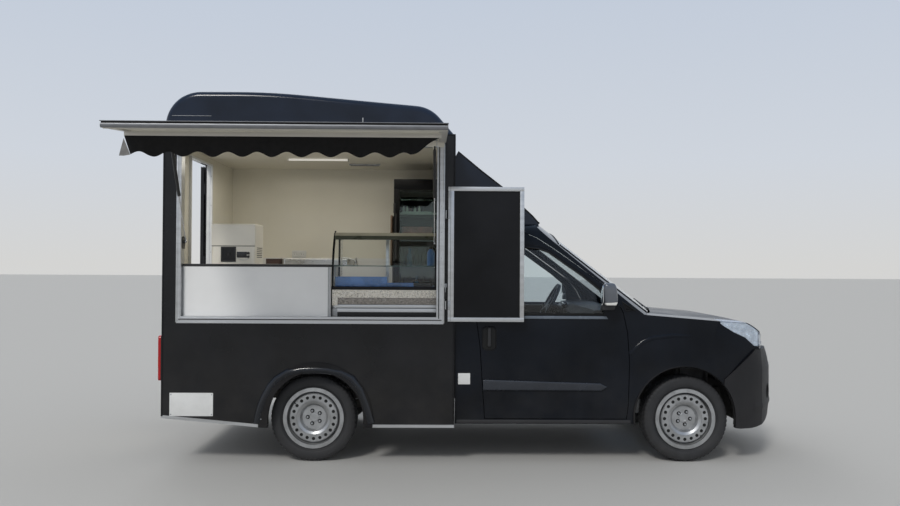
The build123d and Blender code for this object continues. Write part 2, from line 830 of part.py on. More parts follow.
# Wind deflector on the cab roof, open below and behind
deflector_half = 620
deflector_wall = 8
deflector_outline = [
    (box_front + x, z)
    for x, z in ((8, 1690), (8, 2280), (27, 2325), (201, 2182), (398, 2030), (525, 1902), (600, 1834), (648, 1780),
                 (654, 1690))
]
with BuildPart() as deflector:
    with BuildSketch(Plane.XZ.offset(-deflector_half)):
        with BuildLine():
            Polyline(*deflector_outline, close=True)
        make_face()
    extrude(amount=2 * deflector_half)
    with BuildSketch(Plane.XZ.offset(-deflector_half + deflector_wall)):
        with BuildLine():
            Polyline(*deflector_outline, close=True)
        make_face()
        offset(amount=-deflector_wall, kind=Kind.INTERSECTION)
        with Locations((box_front + 60, 1800)):
            Rectangle(100, 900)
        with Locations((box_front + 330, 1700)):
            Rectangle(640, 30)
    extrude(amount=2 * (deflector_half - deflector_wall), mode=Mode.SUBTRACT)
    add(upper_outer, mode=Mode.SUBTRACT)
save(deflector, "wind_deflector")


# Sales box
floor_bottom = rail_top
inner_half = box_half - side_wall
rear_inner = box_rear + end_wall
front_inner = box_front - end_wall
with BuildPart() as box_floor:
    block((rear_inner, front_inner), (-inner_half, inner_half), (floor_bottom, floor_top))
    for side in (-1, 1):
        well_x = (arch_middle - arch_radius - 60, arch_middle + arch_radius + 60)
        well_y = sorted((side * wheel_box_inner, side * inner_half))
        block(well_x, well_y, (floor_bottom, wheel_box_top))
        hollow_x = (well_x[0] + wheel_box_wall, well_x[1] - wheel_box_wall)
        hollow_y = sorted((side * (wheel_box_inner + wheel_box_wall), side * inner_half))
        block(hollow_x, hollow_y, (floor_bottom - 1, wheel_box_top - wheel_box_wall), mode=Mode.SUBTRACT)
save(box_floor, "box_floor")

arch_foot = tyre_radius - 20
arch_left = arch_middle - arch_radius
arch_right = arch_middle + arch_radius


def arch_sketch(grow, y=1100):
    """Wheel opening of the box: upright feet and a round head."""
    radius = arch_radius + grow
    with BuildSketch(Plane.XZ.offset(-y)) as opening:
        with BuildLine():
            Polyline((arch_middle + radius, arch_foot), (arch_middle + radius, 100), (arch_middle - radius, 100),
                     (arch_middle - radius, arch_foot))
            ThreePointArc((arch_middle - radius, arch_foot), (arch_middle, arch_foot + radius + arch_rise),
                          (arch_middle + radius, arch_foot))
        make_face()
    return opening.sketch


wall_outline = (
    (box_rear, skirt_rear_bottom), (arch_left - flare_width, skirt_bottom), (box_front, skirt_bottom),
    (box_front, wall_top), (box_rear, wall_top),
)


with BuildPart() as left_wall:
    with BuildSketch(Plane.XZ.offset(-box_half)):
        with BuildLine():
            Polyline(*wall_outline, close=True)
        make_face()
    extrude(amount=side_wall)
    extrude(arch_sketch(0), amount=3000, both=True, mode=Mode.SUBTRACT)
save(left_wall, "left_wall")

with BuildPart() as right_wall:
    with BuildSketch(Plane.XZ.offset(inner_half)):
        with BuildLine():
            Polyline(*wall_outline, close=True)
        make_face()
        with Locations(((hatch_rear + hatch_front) / 2, (hatch_bottom + hatch_top) / 2)):
            Rectangle(hatch_front - hatch_rear, hatch_top - hatch_bottom, mode=Mode.SUBTRACT)
    extrude(amount=side_wall)
    extrude(arch_sketch(0), amount=3000, both=True, mode=Mode.SUBTRACT)
save(right_wall, "right_wall")

with BuildPart() as rear_wall:
    block((box_rear, rear_inner), (-inner_half, inner_half), (skirt_rear_bottom, wall_top))
    doorway = (entrance_right, entrance_left)
    block((box_rear - 1, rear_inner + 1), doorway, (floor_top, entrance_top), mode=Mode.SUBTRACT)
save(rear_wall, "rear_wall")

with BuildPart() as front_wall:
    block((front_inner, box_front), (-inner_half, inner_half), (rail_top, wall_top))
save(front_wall, "front_wall")

with BuildPart() as ceiling_panel:
    ceiling_z = (ceiling_bottom, ceiling_bottom + ceiling)
    block((rear_inner, front_inner), (-inner_half, inner_half), ceiling_z)
save(ceiling_panel, "ceiling")

# Roof cap: a moulded cover with a round tail and a sloping, rounded front

def cap_form(inset):
    """The cap's side view across the box, its upper edges rounded, moved in by the inset."""
    rear = box_rear + inset
    half = box_half - inset
    cap_foot = wall_top - 1
    with BuildPart() as form:
        with BuildSketch(Plane.XZ.offset(-half)):
            with BuildLine():
                FilletPolyline(
                    (rear, cap_foot), (rear, cap_top - inset), (-330, cap_top + 4 - inset), (850 - inset, 2612 - inset),
                    (box_front - inset, cap_foot), radius=[cap_tail_radius - inset, 5000, cap_brow_radius - inset],
                )
                Line((box_front - inset, cap_foot), (rear, cap_foot))
            make_face()
        extrude(amount=2 * half)
        rims = form.edges().filter_by(lambda edge: edge.center().Z > wall_top + 20)
        rims = rims.filter_by(lambda edge: abs(abs(edge.center().Y) - half) < 0.1)
        fillet(rims, cap_edge_radius - inset)
        block((-2000, 2000), (-2000, 2000), (wall_top, 3000), mode=Mode.INTERSECT)
    return form.part


with BuildPart() as roof_cap:
    add(cap_form(0))
    add(cap_form(cap_wall), mode=Mode.SUBTRACT)
save(roof_cap, "roof_cap")

# Rails along the lower edges of the side walls, and the flares round the wheel openings
with BuildPart() as rails:
    for wall_y in (inner_half, -box_half):
        with BuildSketch(Plane.XZ.offset(-wall_y - side_wall)) as strip:
            with BuildLine():
                Polyline(
                    (box_rear, skirt_rear_bottom), (arch_left - flare_width, skirt_bottom),
                    (arch_left, skirt_bottom), (arch_left, skirt_bottom - skirt_rail),
                    (arch_left - flare_width, skirt_bottom - skirt_rail),
                    (box_rear, skirt_rear_bottom - skirt_rail), close=True,
                )
            make_face()
            with Locations(((arch_right + box_front) / 2, skirt_bottom - skirt_rail / 2)):
                Rectangle(box_front - arch_right, skirt_rail)
        extrude(strip.sketch, amount=side_wall)
save(rails, "skirt_rails")

with BuildPart() as flares:
    for side in (-1, 1):
        extrude(arch_sketch(flare_width, side * box_half), amount=-side * flare_stand)
    extrude(arch_sketch(0), amount=3000, mode=Mode.SUBTRACT)
    block((-2000, 2000), (-2000, 2000), (skirt_bottom - skirt_rail, 1000), mode=Mode.INTERSECT)
save(flares, "arch_flares")

# Hatch frame: an aluminium ring in the side wall's cut-out
clear_rear = hatch_rear + frame_rear
clear_front = hatch_front - frame_front
clear_bottom = hatch_bottom + frame_sill
clear_top = hatch_top - frame_head
hatch_middle = (hatch_rear + hatch_front) / 2
foot_y = strut_foot_depth - box_half
strut_front_x = clear_front - strut_inset
strut_rear_x = clear_rear + strut_inset


def hatch_ring(depth, bottom):
    with BuildSketch(Plane.XZ.offset(box_half)) as ring:
        with Locations((hatch_middle, (bottom + hatch_top) / 2)):
            Rectangle(hatch_front - hatch_rear, hatch_top - bottom)
        with Locations(((clear_rear + clear_front) / 2, (clear_bottom + clear_top) / 2)):
            Rectangle(clear_front - clear_rear, clear_top - clear_bottom, mode=Mode.SUBTRACT)
    extrude(ring.sketch, amount=-depth)


with BuildPart() as opening_frame:
    hatch_ring(frame_sill_depth, hatch_bottom)
    hatch_ring(frame_depth, clear_bottom)
    for strut_x, clear_x, inward in ((strut_front_x, clear_front, -1), (strut_rear_x, clear_rear, 1)):
        with BuildSketch(Plane.YZ.offset(clear_x)) as foot_boss:
            with Locations((foot_y, strut_foot_height)):
                Circle(pin_radius + 3)
        extrude(foot_boss.sketch, amount=strut_x - clear_x - inward * (eye_width / 2 + fit_gap))
    for hinge_z in board_hinge_heights:
        block((board_hinge - 9.5, board_hinge + 4.5), (fit_gap + board_hinge_radius - board_axis_out, -box_half),
              (hinge_z, hinge_z + board_hinge_height))
save(opening_frame, "opening_frame")

# Flap: a framed panel hinged above the hatch, drawn in its open place
axis_y = -box_half - flap_axis_stand
flap_offset = flap_stand - flap_axis_stand
droop = radians(flap_droop)
flap_plane = Plane(origin=(0, axis_y, flap_axis_height), x_dir=(1, 0, 0), z_dir=(0, -sin(droop), cos(droop)))
flap_x = (hatch_rear - flap_overhang, hatch_front + flap_overhang)
flap_root = 5


def flap_block(x_range, reach, depth, mode=Mode.ADD):
    """A member of the flap: reach runs outward from the hinge, depth upward."""
    with BuildSketch(flap_plane.offset(depth[0])) as base:
        with Locations(((x_range[0] + x_range[1]) / 2, -(reach[0] + reach[1]) / 2)):
            Rectangle(x_range[1] - x_range[0], reach[1] - reach[0])
    extrude(base.sketch, amount=depth[1] - depth[0], mode=mode)


def flap_point(reach, depth):
    """Y and Z of a point of the open flap."""
    return (axis_y - reach * cos(droop) - depth * sin(droop), flap_axis_height - reach * sin(droop) + depth * cos(droop))


pin_depth = flap_offset - strut_drop
with BuildPart() as flap:
    flap_z = (flap_offset, flap_offset + flap_thickness)
    flap_block(flap_x, (flap_root, flap_length), flap_z)
    inner_x = (flap_x[0] + flap_rim, flap_x[1] - flap_rim)
    inner_reach = (flap_root + flap_rim, flap_length - flap_rim)
    flap_block(inner_x, inner_reach, (flap_z[0], flap_z[0] + 6), mode=Mode.SUBTRACT)
    flap_block(inner_x, inner_reach, (flap_z[1] - 6, flap_z[1]), mode=Mode.SUBTRACT)
    batten = (valance_reach - 10, valance_reach + 14)
    flap_block(inner_x, batten, (flap_z[0], flap_z[0] + 7))
    flap_block((hatch_rear, hatch_front), (flap_root, flap_root + 6), (0, flap_z[0]))
    with BuildSketch(Plane.YZ.offset(hatch_rear)) as barrel:
        with Locations((axis_y, flap_axis_height)):
            Circle(hinge_radius)
    extrude(barrel.sketch, amount=hatch_front - hatch_rear)
    for strut_x, inward in ((strut_front_x, -1), (strut_rear_x, 1)):
        ear_near = strut_x + inward * (eye_width / 2 + 0.5)
        ear_x = sorted((ear_near, ear_near + inward * ear))
        ear_reach = (strut_reach - 9, strut_reach + 9)
        flap_block(ear_x, ear_reach, (pin_depth - 9, flap_offset + 6))
        pin_point = flap_point(strut_reach, pin_depth)
        with BuildSketch(Plane.YZ.offset(ear_near)) as stud:
            with Locations(pin_point):
                Circle(pin_radius)
        extrude(stud.sketch, amount=-inward * (eye_width + 1))
save(flap, "flap")

# Cloth valance hung below the flap, its ends cut aslant and its swagged hem rising to the front
with BuildPart() as valance:
    hang_y, hang_z = flap_point(valance_reach, flap_offset - 0.7)
    with BuildSketch(Plane.XZ.offset(-hang_y)) as cloth:
        with BuildLine():
            hem = [
                (valance_hem[0] + index * (valance_hem[1] - valance_hem[0]) / (2 * valance_swags),
                 hang_z - valance_drop + index * valance_rise / (2 * valance_swags) + (1 - index % 2) * valance_swag)
                for index in range(2 * valance_swags + 1)
            ]
            Polyline(hem[-1], (valance_top[1], hang_z), (valance_top[0], hang_z), hem[0])
            for index in range(0, 2 * valance_swags, 2):
                ThreePointArc(*hem[index:index + 3])
        make_face()
    extrude(cloth.sketch, amount=valance_cloth)
save(valance, "valance")

# Gas struts: barrels on the flap, rods with their eyes at the frame
pin_y, pin_z = flap_point(strut_reach, pin_depth)
strut_length = hypot(foot_y - pin_y, strut_foot_height - pin_z)
strut_way = (0, (foot_y - pin_y) / strut_length, (strut_foot_height - pin_z) / strut_length)
for strut_x, name in ((strut_front_x, "front"), (strut_rear_x, "rear")):
    strut_plane = Plane(origin=(strut_x, pin_y, pin_z), x_dir=(1, 0, 0), z_dir=strut_way)
    with BuildPart() as strut_barrel:
        with BuildSketch(strut_plane.offset(eye_radius - 2)):
            Circle(neck_radius)
        extrude(amount=barrel_neck)
        with BuildSketch(strut_plane.offset(barrel_neck)):
            Circle(barrel_radius)
        extrude(amount=barrel_length - barrel_neck)
        with BuildSketch(strut_plane.offset(barrel_neck + 4)):
            Circle(rod_radius + fit_gap)
        extrude(amount=barrel_length, mode=Mode.SUBTRACT)
        with BuildSketch(Plane.YZ.offset(strut_x - eye_width / 2)) as eye:
            with Locations((pin_y, pin_z)):
                Circle(eye_radius)
        extrude(eye.sketch, amount=eye_width)
        with BuildSketch(Plane.YZ.offset(strut_x - barrel_radius)) as bore:
            with Locations((pin_y, pin_z)):
                Circle(pin_radius + shaft_gap)
        extrude(bore.sketch, amount=2 * barrel_radius, mode=Mode.SUBTRACT)
    save(strut_barrel, "strut_barrel_" + name)
    with BuildPart() as strut_rod:
        with BuildSketch(strut_plane.offset(strut_length - rod_length)):
            Circle(rod_radius)
        extrude(amount=rod_length - eye_radius + 2)
        with BuildSketch(Plane.YZ.offset(strut_x - eye_width / 2)) as eye:
            with Locations((foot_y, strut_foot_height)):
                Circle(eye_radius)
                Circle(pin_radius, mode=Mode.SUBTRACT)
        extrude(eye.sketch, amount=eye_width)
    save(strut_rod, "strut_rod_" + name)

# Menu board: a framed panel hinged at the hatch's front post, swung open along the cab
board_axis_y = -board_axis_out
board_rear = board_hinge + 8.5
with BuildPart() as side_panel:
    board_y = (board_axis_y, board_axis_y + board_thickness)
    board_x = (board_rear, board_rear + board_length)
    board_z = (board_bottom, board_bottom + board_height)
    block(board_x, board_y, board_z)
    field_x = (board_x[0] + board_frame, board_x[1] - board_frame)
    field_z = (board_z[0] + board_frame, board_z[1] - board_frame)
    block(field_x, (board_y[0], board_y[0] + 4), field_z, mode=Mode.SUBTRACT)
    block(field_x, (board_y[1] - 4, board_y[1]), field_z, mode=Mode.SUBTRACT)
    for hinge_z in board_hinge_heights:
        with BuildSketch(Plane.XY.offset(hinge_z)) as knuckle_circle:
            with Locations((board_hinge, board_axis_y)):
                Circle(board_hinge_radius)
        extrude(knuckle_circle.sketch, amount=board_hinge_height)
        block((board_hinge, board_rear + 10), (board_axis_y, board_axis_y + 4), (hinge_z, hinge_z + board_hinge_height))
save(side_panel, "side_panel")

# Entrance door: hinged at the doorway's left jamb, swung right round against the rear wall
entrance_axis = (box_rear - entrance_barrel - fit_gap, entrance_left + entrance_barrel)
with BuildPart() as entrance_door:
    leaf_x = (entrance_axis[0] - 10 - entrance_leaf, entrance_axis[0] - 10)
    leaf_width = entrance_left - entrance_right - 8
    leaf_y = (entrance_axis[1] + 10, entrance_axis[1] + 10 + leaf_width)
    leaf_z = (floor_top + 5, entrance_top - 5)
    block(leaf_x, leaf_y, leaf_z)
    for hinge_z in (leaf_z[0] + 150, (leaf_z[0] + leaf_z[1]) / 2, leaf_z[1] - 240):
        hinge_span = (hinge_z, hinge_z + 90)
        with BuildSketch(Plane.XY.offset(hinge_z)) as hinge_circle:
            with Locations(entrance_axis):
                Circle(entrance_barrel)
        extrude(hinge_circle.sketch, amount=90)
        block((entrance_axis[0] - entrance_barrel, entrance_axis[0] + 1), (entrance_axis[1], leaf_y[0] + 1), hinge_span)
        block((leaf_x[1] - 2, entrance_axis[0] + 1), (leaf_y[0], leaf_y[0] + 30), hinge_span)
save(entrance_door, "entrance_door")

with BuildPart() as rear_lamps:
    for side in (-1, 1):
        with BuildSketch(Plane.YZ.offset(box_rear)) as lamp:
            with Locations((side * (box_half - 85), 760)):
                RectangleRounded(80, 330, 20)
        extrude(lamp.sketch, amount=-38)
save(rear_lamps, "rear_lamps")


# Kitchen
leg_y = (-600, -counter_back)
with BuildPart() as counter:
    counter_x = (clear_rear + 1, case_rear - 1)
    block(counter_x, (-counter_front, -counter_back), (worktop_height - worktop, worktop_height))
    block(counter_x, (-counter_front, 18 - counter_front), (780, worktop_height - worktop))
    for leg_x in (counter_x[0], -440, counter_x[1] - worktop):
        block((leg_x, leg_x + worktop), leg_y, (floor_top, worktop_height - worktop))
    block(counter_x, (leg_y[0], leg_y[1]), (1000, 1000 + worktop))
save(counter, "counter")


def curve_front(height, inset):
    """Y of the case's curved front at a height, moved in by the inset."""
    return case_curve[0] - sqrt((case_curve_radius - inset) ** 2 - (height - case_curve[1]) ** 2)


def curved_band(x_range, insets, z_range):
    """A band that follows the case's curved front between two insets."""
    low, high = z_range
    heights = (low, (low + high) / 2, high)
    outer, inner = ([(curve_front(height, inset), height) for height in heights] for inset in insets)
    with BuildSketch(Plane.YZ.offset(x_range[0])) as band:
        with BuildLine():
            ThreePointArc(*outer)
            Line(outer[2], inner[2])
            ThreePointArc(*inner)
            Line(inner[0], outer[0])
        make_face()
    extrude(band.sketch, amount=x_range[1] - x_range[0])


with BuildPart() as display_case:
    case_x = (case_rear, case_front)
    block(case_x, (-600, -counter_back), (floor_top, case_skirt))
    for set_back, bottom, top in (
        # face behind the foremost band, lower edge, upper edge
        (14, case_skirt, 1110),
        (26, 1110, 1158),
        (8, 1158, 1207),
        (0, 1207, case_glass_bottom - 18),
        (12, case_glass_bottom - 18, case_glass_bottom),
    ):
        block(case_x, (set_back - case_face, -counter_back), (bottom, top))
    beam_back = curve_front(case_top, 0) + case_beam
    curved_band(case_x, (0, case_band), (case_glass_top, case_top))
    block(case_x, (curve_front(case_top, case_band / 2), beam_back), (case_glass_top, case_top))
    for end_x in (case_x[0], case_x[1] - case_post):
        post_x = (end_x, end_x + case_post)
        curved_band(post_x, (0, case_band), (case_glass_bottom, case_top))
        block(post_x, (-counter_back - 18, -counter_back), (case_glass_bottom, case_top))
        block(post_x, (beam_back - 1, -counter_back), (case_glass_top + 24, case_top))
save(display_case, "display_case")

with BuildPart() as display_glass:
    glass_x = (case_rear + case_post + fit_gap, case_front - case_post - fit_gap)
    curved_band(glass_x, (2, 2 + glass_pane), (case_glass_bottom + fit_gap, case_glass_top - fit_gap))
    shelf_z = case_glass_bottom + 155
    shelf_y = (curve_front(shelf_z, glass_pane), -counter_back - 20)
    block(glass_x, shelf_y, (shelf_z, shelf_z + glass_pane))
save(display_glass, "display_glass")

with BuildPart() as machine:
    with BuildSketch(Plane.XY.offset(worktop_height)) as machine_base:
        with Locations(((machine_rear + machine_front) / 2, -610)):
            RectangleRounded(machine_front - machine_rear, 300, 18)
    extrude(machine_base.sketch, amount=machine_top - worktop_height)
    fillet(machine.faces().sort_by(Axis.Z)[-1].edges(), 10)
    with BuildSketch(Plane.XZ.offset(760)) as grille_window:
        with Locations((machine_rear + 105, worktop_height + 62)):
            Rectangle(106, 96)
    extrude(grille_window.sketch, amount=-14, mode=Mode.SUBTRACT)
save(machine, "drinks_machine")

with BuildPart() as back_counter:
    back_x = (rear_inner + 2, back_counter_front)
    back_y = (back_counter_face, inner_half)
    block(back_x, back_y, (wheel_box_top + 5, worktop_height))
    block(back_x, (back_counter_face + 30, wheel_box_inner - 5), (floor_top, wheel_box_top + 5))
    block((back_x[0], back_x[1]), (inner_half - 12, inner_half), (worktop_height, worktop_height + 60))
    with BuildSketch(Plane.XY.offset(worktop_height)) as bowl:
        with Locations((sink_x, back_counter_face + 230)):
            RectangleRounded(400, 320, 50)
    extrude(bowl.sketch, amount=-sink_depth, mode=Mode.SUBTRACT)
save(back_counter, "back_counter")

with BuildPart() as fridge:
    fridge_x = (fridge_rear, front_inner - 8)
    fridge_y = (fridge_face + fridge_door + fit_gap, inner_half - 4)
    fridge_z = (floor_top, fridge_top)
    block(fridge_x, fridge_y, fridge_z)
    cavity_x = (fridge_x[0] + fridge_wall, fridge_x[1] - fridge_wall)
    cavity_z = (fridge_z[0] + 120, fridge_z[1] - 110)
    block(cavity_x, (fridge_y[0] - 1, fridge_y[1] - fridge_wall), cavity_z, mode=Mode.SUBTRACT)
    for shelf_z in (930, 1180, 1430, 1680, 1900):
        block(cavity_x, (fridge_y[0] + 30, fridge_y[1] - fridge_wall), (shelf_z, shelf_z + 8))
save(fridge, "fridge")

with BuildPart() as fridge_leaf:
    leaf_face = (fridge_face, fridge_face + fridge_door)
    block(fridge_x, leaf_face, (fridge_z[0] + 60, fridge_top))
    pane_x = (fridge_x[0] + 45, fridge_x[1] - 45)
    pane_z = (fridge_z[0] + 130, fridge_top - 90)
    block(pane_x, (leaf_face[0], leaf_face[0] + 14), pane_z, mode=Mode.SUBTRACT)
    block(pane_x, (leaf_face[1] - 14, leaf_face[1]), pane_z, mode=Mode.SUBTRACT)
    block((fridge_x[0] + 12, fridge_x[0] + 28), (leaf_face[0] - 26, leaf_face[0]), (1500, 1530))
    block((fridge_x[0] + 12, fridge_x[0] + 28), (leaf_face[0] - 26, leaf_face[0]), (1870, 1900))
    block((fridge_x[0] + 12, fridge_x[0] + 28), (leaf_face[0] - 38, leaf_face[0] - 22), (1500, 1900))
save(fridge_leaf, "fridge_door")
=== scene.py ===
"""Food truck, dressed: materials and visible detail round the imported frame. Metres."""
import math

import bmesh
import bpy
from mathutils import Matrix, Vector


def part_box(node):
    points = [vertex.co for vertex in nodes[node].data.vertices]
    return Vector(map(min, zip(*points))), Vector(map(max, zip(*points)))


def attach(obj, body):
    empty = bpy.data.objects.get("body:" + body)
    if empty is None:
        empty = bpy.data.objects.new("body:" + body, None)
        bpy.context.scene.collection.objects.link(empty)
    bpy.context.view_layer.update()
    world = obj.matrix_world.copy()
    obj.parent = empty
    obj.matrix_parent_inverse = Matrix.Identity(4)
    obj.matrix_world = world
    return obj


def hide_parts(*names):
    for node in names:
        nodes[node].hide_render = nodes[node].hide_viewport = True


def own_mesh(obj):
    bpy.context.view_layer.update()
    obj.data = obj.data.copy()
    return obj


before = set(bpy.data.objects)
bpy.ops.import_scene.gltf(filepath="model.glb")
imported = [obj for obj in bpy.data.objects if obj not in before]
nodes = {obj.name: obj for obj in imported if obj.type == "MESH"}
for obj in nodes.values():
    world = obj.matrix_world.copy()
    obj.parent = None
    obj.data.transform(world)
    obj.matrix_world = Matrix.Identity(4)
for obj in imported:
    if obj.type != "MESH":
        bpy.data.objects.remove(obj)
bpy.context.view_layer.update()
scene = bpy.context.scene

IMAGE_WIDTH = 900
FOCAL_PIXELS = 830
SENSOR = 36
CAMERA_AT = (0.915, -6.999, 1.457)
CAMERA_YAW = 0.79
CAMERA_PITCH = 0.78
CAMERA_ROLL = 0.32
VIEW_END = 200
FLOOR_REACH = 90


# Camera and studio
def make_camera():
    yaw, pitch, roll = (math.radians(angle) for angle in (CAMERA_YAW, CAMERA_PITCH, CAMERA_ROLL))
    ahead = Vector((math.sin(yaw), math.cos(yaw), 0))
    right = Vector((math.cos(yaw), -math.sin(yaw), 0))
    up = Vector((0, 0, 1))
    look = ahead * math.cos(pitch) + up * math.sin(pitch)
    top = up * math.cos(pitch) - ahead * math.sin(pitch)
    side = right * math.cos(roll) + top * math.sin(roll)
    top = top * math.cos(roll) - right * math.sin(roll)
    camera = bpy.data.objects.new("camera", bpy.data.cameras.new("camera"))
    scene.collection.objects.link(camera)
    camera.data.sensor_width = SENSOR
    camera.data.lens = SENSOR * FOCAL_PIXELS / IMAGE_WIDTH
    camera.data.clip_end = VIEW_END
    turn = Matrix((side, top, -look)).transposed().to_4x4()
    camera.matrix_world = Matrix.Translation(CAMERA_AT) @ turn
    scene.camera = camera


def light(name, kind, power, colour, **settings):
    lamp = bpy.data.lights.new(name, kind)
    lamp.energy = power
    lamp.color = colour
    for key, value in settings.items():
        setattr(lamp, key, value)
    holder = bpy.data.objects.new(name, lamp)
    scene.collection.objects.link(holder)
    return holder


def make_lights():
    front = light("sun_front", "SUN", 1.25, (1, 0.97, 0.92), angle=math.radians(12))
    front.rotation_euler = [math.radians(angle) for angle in (48, 0, -22)]
    back = light("sun_back", "SUN", 0.35, (1, 1, 1), angle=math.radians(30))
    back.rotation_euler = [math.radians(angle) for angle in (-50, 0, 20)]
    kitchen = light("kitchen_lamp", "AREA", 6.5, (1, 0.95, 0.84), shape="RECTANGLE", size=1.5, size_y=0.9)
    kitchen.location = (-0.05, -0.1, 2.3)
    kitchen.visible_camera = False


def make_world():
    """Even light, with a paler sky that the camera, the paint and the glass see."""
    world = bpy.data.worlds.new("studio")
    scene.world = world
    world.use_nodes = True
    tree = world.node_tree
    tree.nodes.clear()
    kinds = ("OutputWorld", "LightPath", "Background", "Background", "ValToRGB", "TexCoord", "SeparateXYZ",
             "MixShader", "Math", "Math")
    out, path, even, seen, ramp, coords, split, mix, total, more = (
        tree.nodes.new("ShaderNode" + kind) for kind in kinds)
    even.inputs[0].default_value = (0.93, 0.96, 1, 1)
    even.inputs[1].default_value = 0.62
    stops = ramp.color_ramp.elements
    stops.new(0.75)
    for stop, position, colour in zip(stops, (0, 0.12, 0.75), (
            (0.66, 0.66, 0.65, 1), (0.62, 0.66, 0.72, 1), (0.36, 0.47, 0.66, 1))):
        stop.position = position
        stop.color = colour
    total.operation = "MAXIMUM"
    more.operation = "MAXIMUM"
    for start, end in (
        (coords.outputs["Generated"], split.inputs[0]),
        (split.outputs[2], ramp.inputs[0]),
        (ramp.outputs[0], seen.inputs[0]),
        (path.outputs["Is Camera Ray"], total.inputs[0]),
        (path.outputs["Is Glossy Ray"], total.inputs[1]),
        (total.outputs[0], more.inputs[0]),
        (path.outputs["Is Transmission Ray"], more.inputs[1]),
        (more.outputs[0], mix.inputs[0]),
        (even.outputs[0], mix.inputs[1]),
        (seen.outputs[0], mix.inputs[2]),
        (mix.outputs[0], out.inputs[0]),
    ):
        tree.links.new(start, end)


# Materials
class Shade:
    """Builds one procedural material on the object's own coordinates."""

    def __init__(self, name, rough=0.5, metallic=0, coat=0, level=0.5):
        self.material = bpy.data.materials.new(name)
        self.material.use_nodes = True
        self.tree = self.material.node_tree
        self.shader = self.tree.nodes["Principled BSDF"]
        self.set("Roughness", rough)
        self.set("Metallic", metallic)
        self.set("Coat Weight", coat)
        self.set("Coat Roughness", 0.04)
        self.set("Specular IOR Level", level)
        self.rough = rough
        self.place = self.node("TexCoord").outputs["Object"]

    def node(self, kind, **values):
        made = self.tree.nodes.new("ShaderNode" + kind)
        for key, value in values.items():
            setattr(made, key, value)
        return made

    def set(self, socket, value):
        self.shader.inputs[socket].default_value = value

    def give(self, socket, value):
        """Links a socket to another one, or sets it to a number or a colour."""
        if isinstance(value, bpy.types.NodeSocket):
            self.tree.links.new(value, socket)
        elif isinstance(value, (int, float)):
            socket.default_value = value
        else:
            socket.default_value = (*value, 1)

    def voronoi(self, **values):
        made = self.node("TexVoronoi")
        for key, value in values.items():
            made.inputs[key].default_value = value
        self.give(made.inputs["Vector"], self.place)
        return made.outputs

    def noise(self, scale, detail=4, stretch=(1, 1, 1)):
        texture = self.node("TexNoise")
        texture.inputs["Scale"].default_value = scale
        texture.inputs["Detail"].default_value = detail
        mapping = self.node("Mapping")
        mapping.inputs["Scale"].default_value = stretch
        self.give(mapping.inputs["Vector"], self.place)
        self.give(texture.inputs["Vector"], mapping.outputs[0])
        return texture.outputs[0]

    def ramp(self, value, stops):
        made = self.node("ValToRGB")
        places = made.color_ramp.elements
        while len(places) < len(stops):
            places.new(0.5)
        for spot, (position, colour) in zip(places, stops):
            spot.position = position
            spot.color = (*colour, 1)
        self.give(made.inputs[0], value)
        return made.outputs[0]

    def mix(self, factor, first, second):
        made = self.node("Mix", data_type="RGBA", blend_type="MIX")
        for socket, value in ((made.inputs[0], factor), (made.inputs[6], first), (made.inputs[7], second)):
            self.give(socket, value)
        return made.outputs[2]

    def math(self, operation, first, second=0):
        made = self.node("Math", operation=operation)
        self.give(made.inputs[0], first)
        self.give(made.inputs[1], second)
        return made.outputs[0]

    def axis(self, index):
        split = self.node("SeparateXYZ")
        self.give(split.inputs[0], self.place)
        return split.outputs[index]

    def colour(self, value):
        self.give(self.shader.inputs["Base Color"], value)

    def mottle(self, base, spread=0.12, scale=6, detail=5, stretch=(1, 1, 1)):
        """The base colour, a little darker and lighter in patches."""
        low = tuple(channel * (1 - spread) for channel in base)
        high = tuple(min(1, channel * (1 + spread)) for channel in base)
        return self.ramp(self.noise(scale, detail, stretch), ((0.35, low), (0.65, high)))

    def uneven_gloss(self, spread, scale, stretch=(1, 1, 1)):
        low, high = max(0.02, self.rough - spread), min(1, self.rough + spread)
        value = self.ramp(self.noise(scale, 6, stretch), ((0.3, (low,) * 3), (0.7, (high,) * 3)))
        self.give(self.shader.inputs["Roughness"], value)

    def bump(self, height, strength, distance):
        made = self.node("Bump")
        made.inputs["Strength"].default_value = strength
        made.inputs["Distance"].default_value = distance
        self.give(made.inputs["Height"], height)
        self.give(self.shader.inputs["Normal"], made.outputs[0])

    def dusted(self, clean, low, high, amount):
        """Road dust that fades out between two heights."""
        rise = self.node("MapRange")
        self.give(rise.inputs[0], self.axis(2))
        for socket, value in zip(list(rise.inputs)[1:5], (low, high, amount, 0)):
            socket.default_value = value
        patch = self.ramp(self.noise(7, 6), ((0.3, (0.2,) * 3), (0.75, (1,) * 3)))
        return self.mix(self.math("MULTIPLY", rise.outputs[0], patch), clean, DUST)


DUST = (0.16, 0.145, 0.125)
CREAM = (0.8, 0.765, 0.66)
BLACK = (0.0075, 0.008, 0.01)
LINING_SIDE = 0.9215
LINING_REAR = -1.0475
LINING_FRONT = 0.9945
LINING_LOW = 0.5
materials = {}


def make_floor():
    shade = Shade("studio_floor", 0.9, level=0.1)
    shade.colour(shade.ramp(shade.noise(160, 3), ((0, (0.44, 0.44, 0.435)), (1, (0.56, 0.56, 0.55)))))
    mesh = bpy.data.meshes.new("studio_floor")
    corners = [(x * FLOOR_REACH, y * FLOOR_REACH, 0) for x, y in ((-1, -1), (1, -1), (1, 1), (-1, 1))]
    mesh.from_pydata(corners, [], [(0, 1, 2, 3)])
    mesh.materials.append(shade.material)
    floor = bpy.data.objects.new("studio_floor", mesh)
    scene.collection.objects.link(floor)


scene.view_settings.view_transform = "Standard"
make_camera()
make_world()
make_lights()
make_floor()


def keep(name, *settings):
    shade = Shade(name, *settings)
    materials[name] = shade.material
    return shade


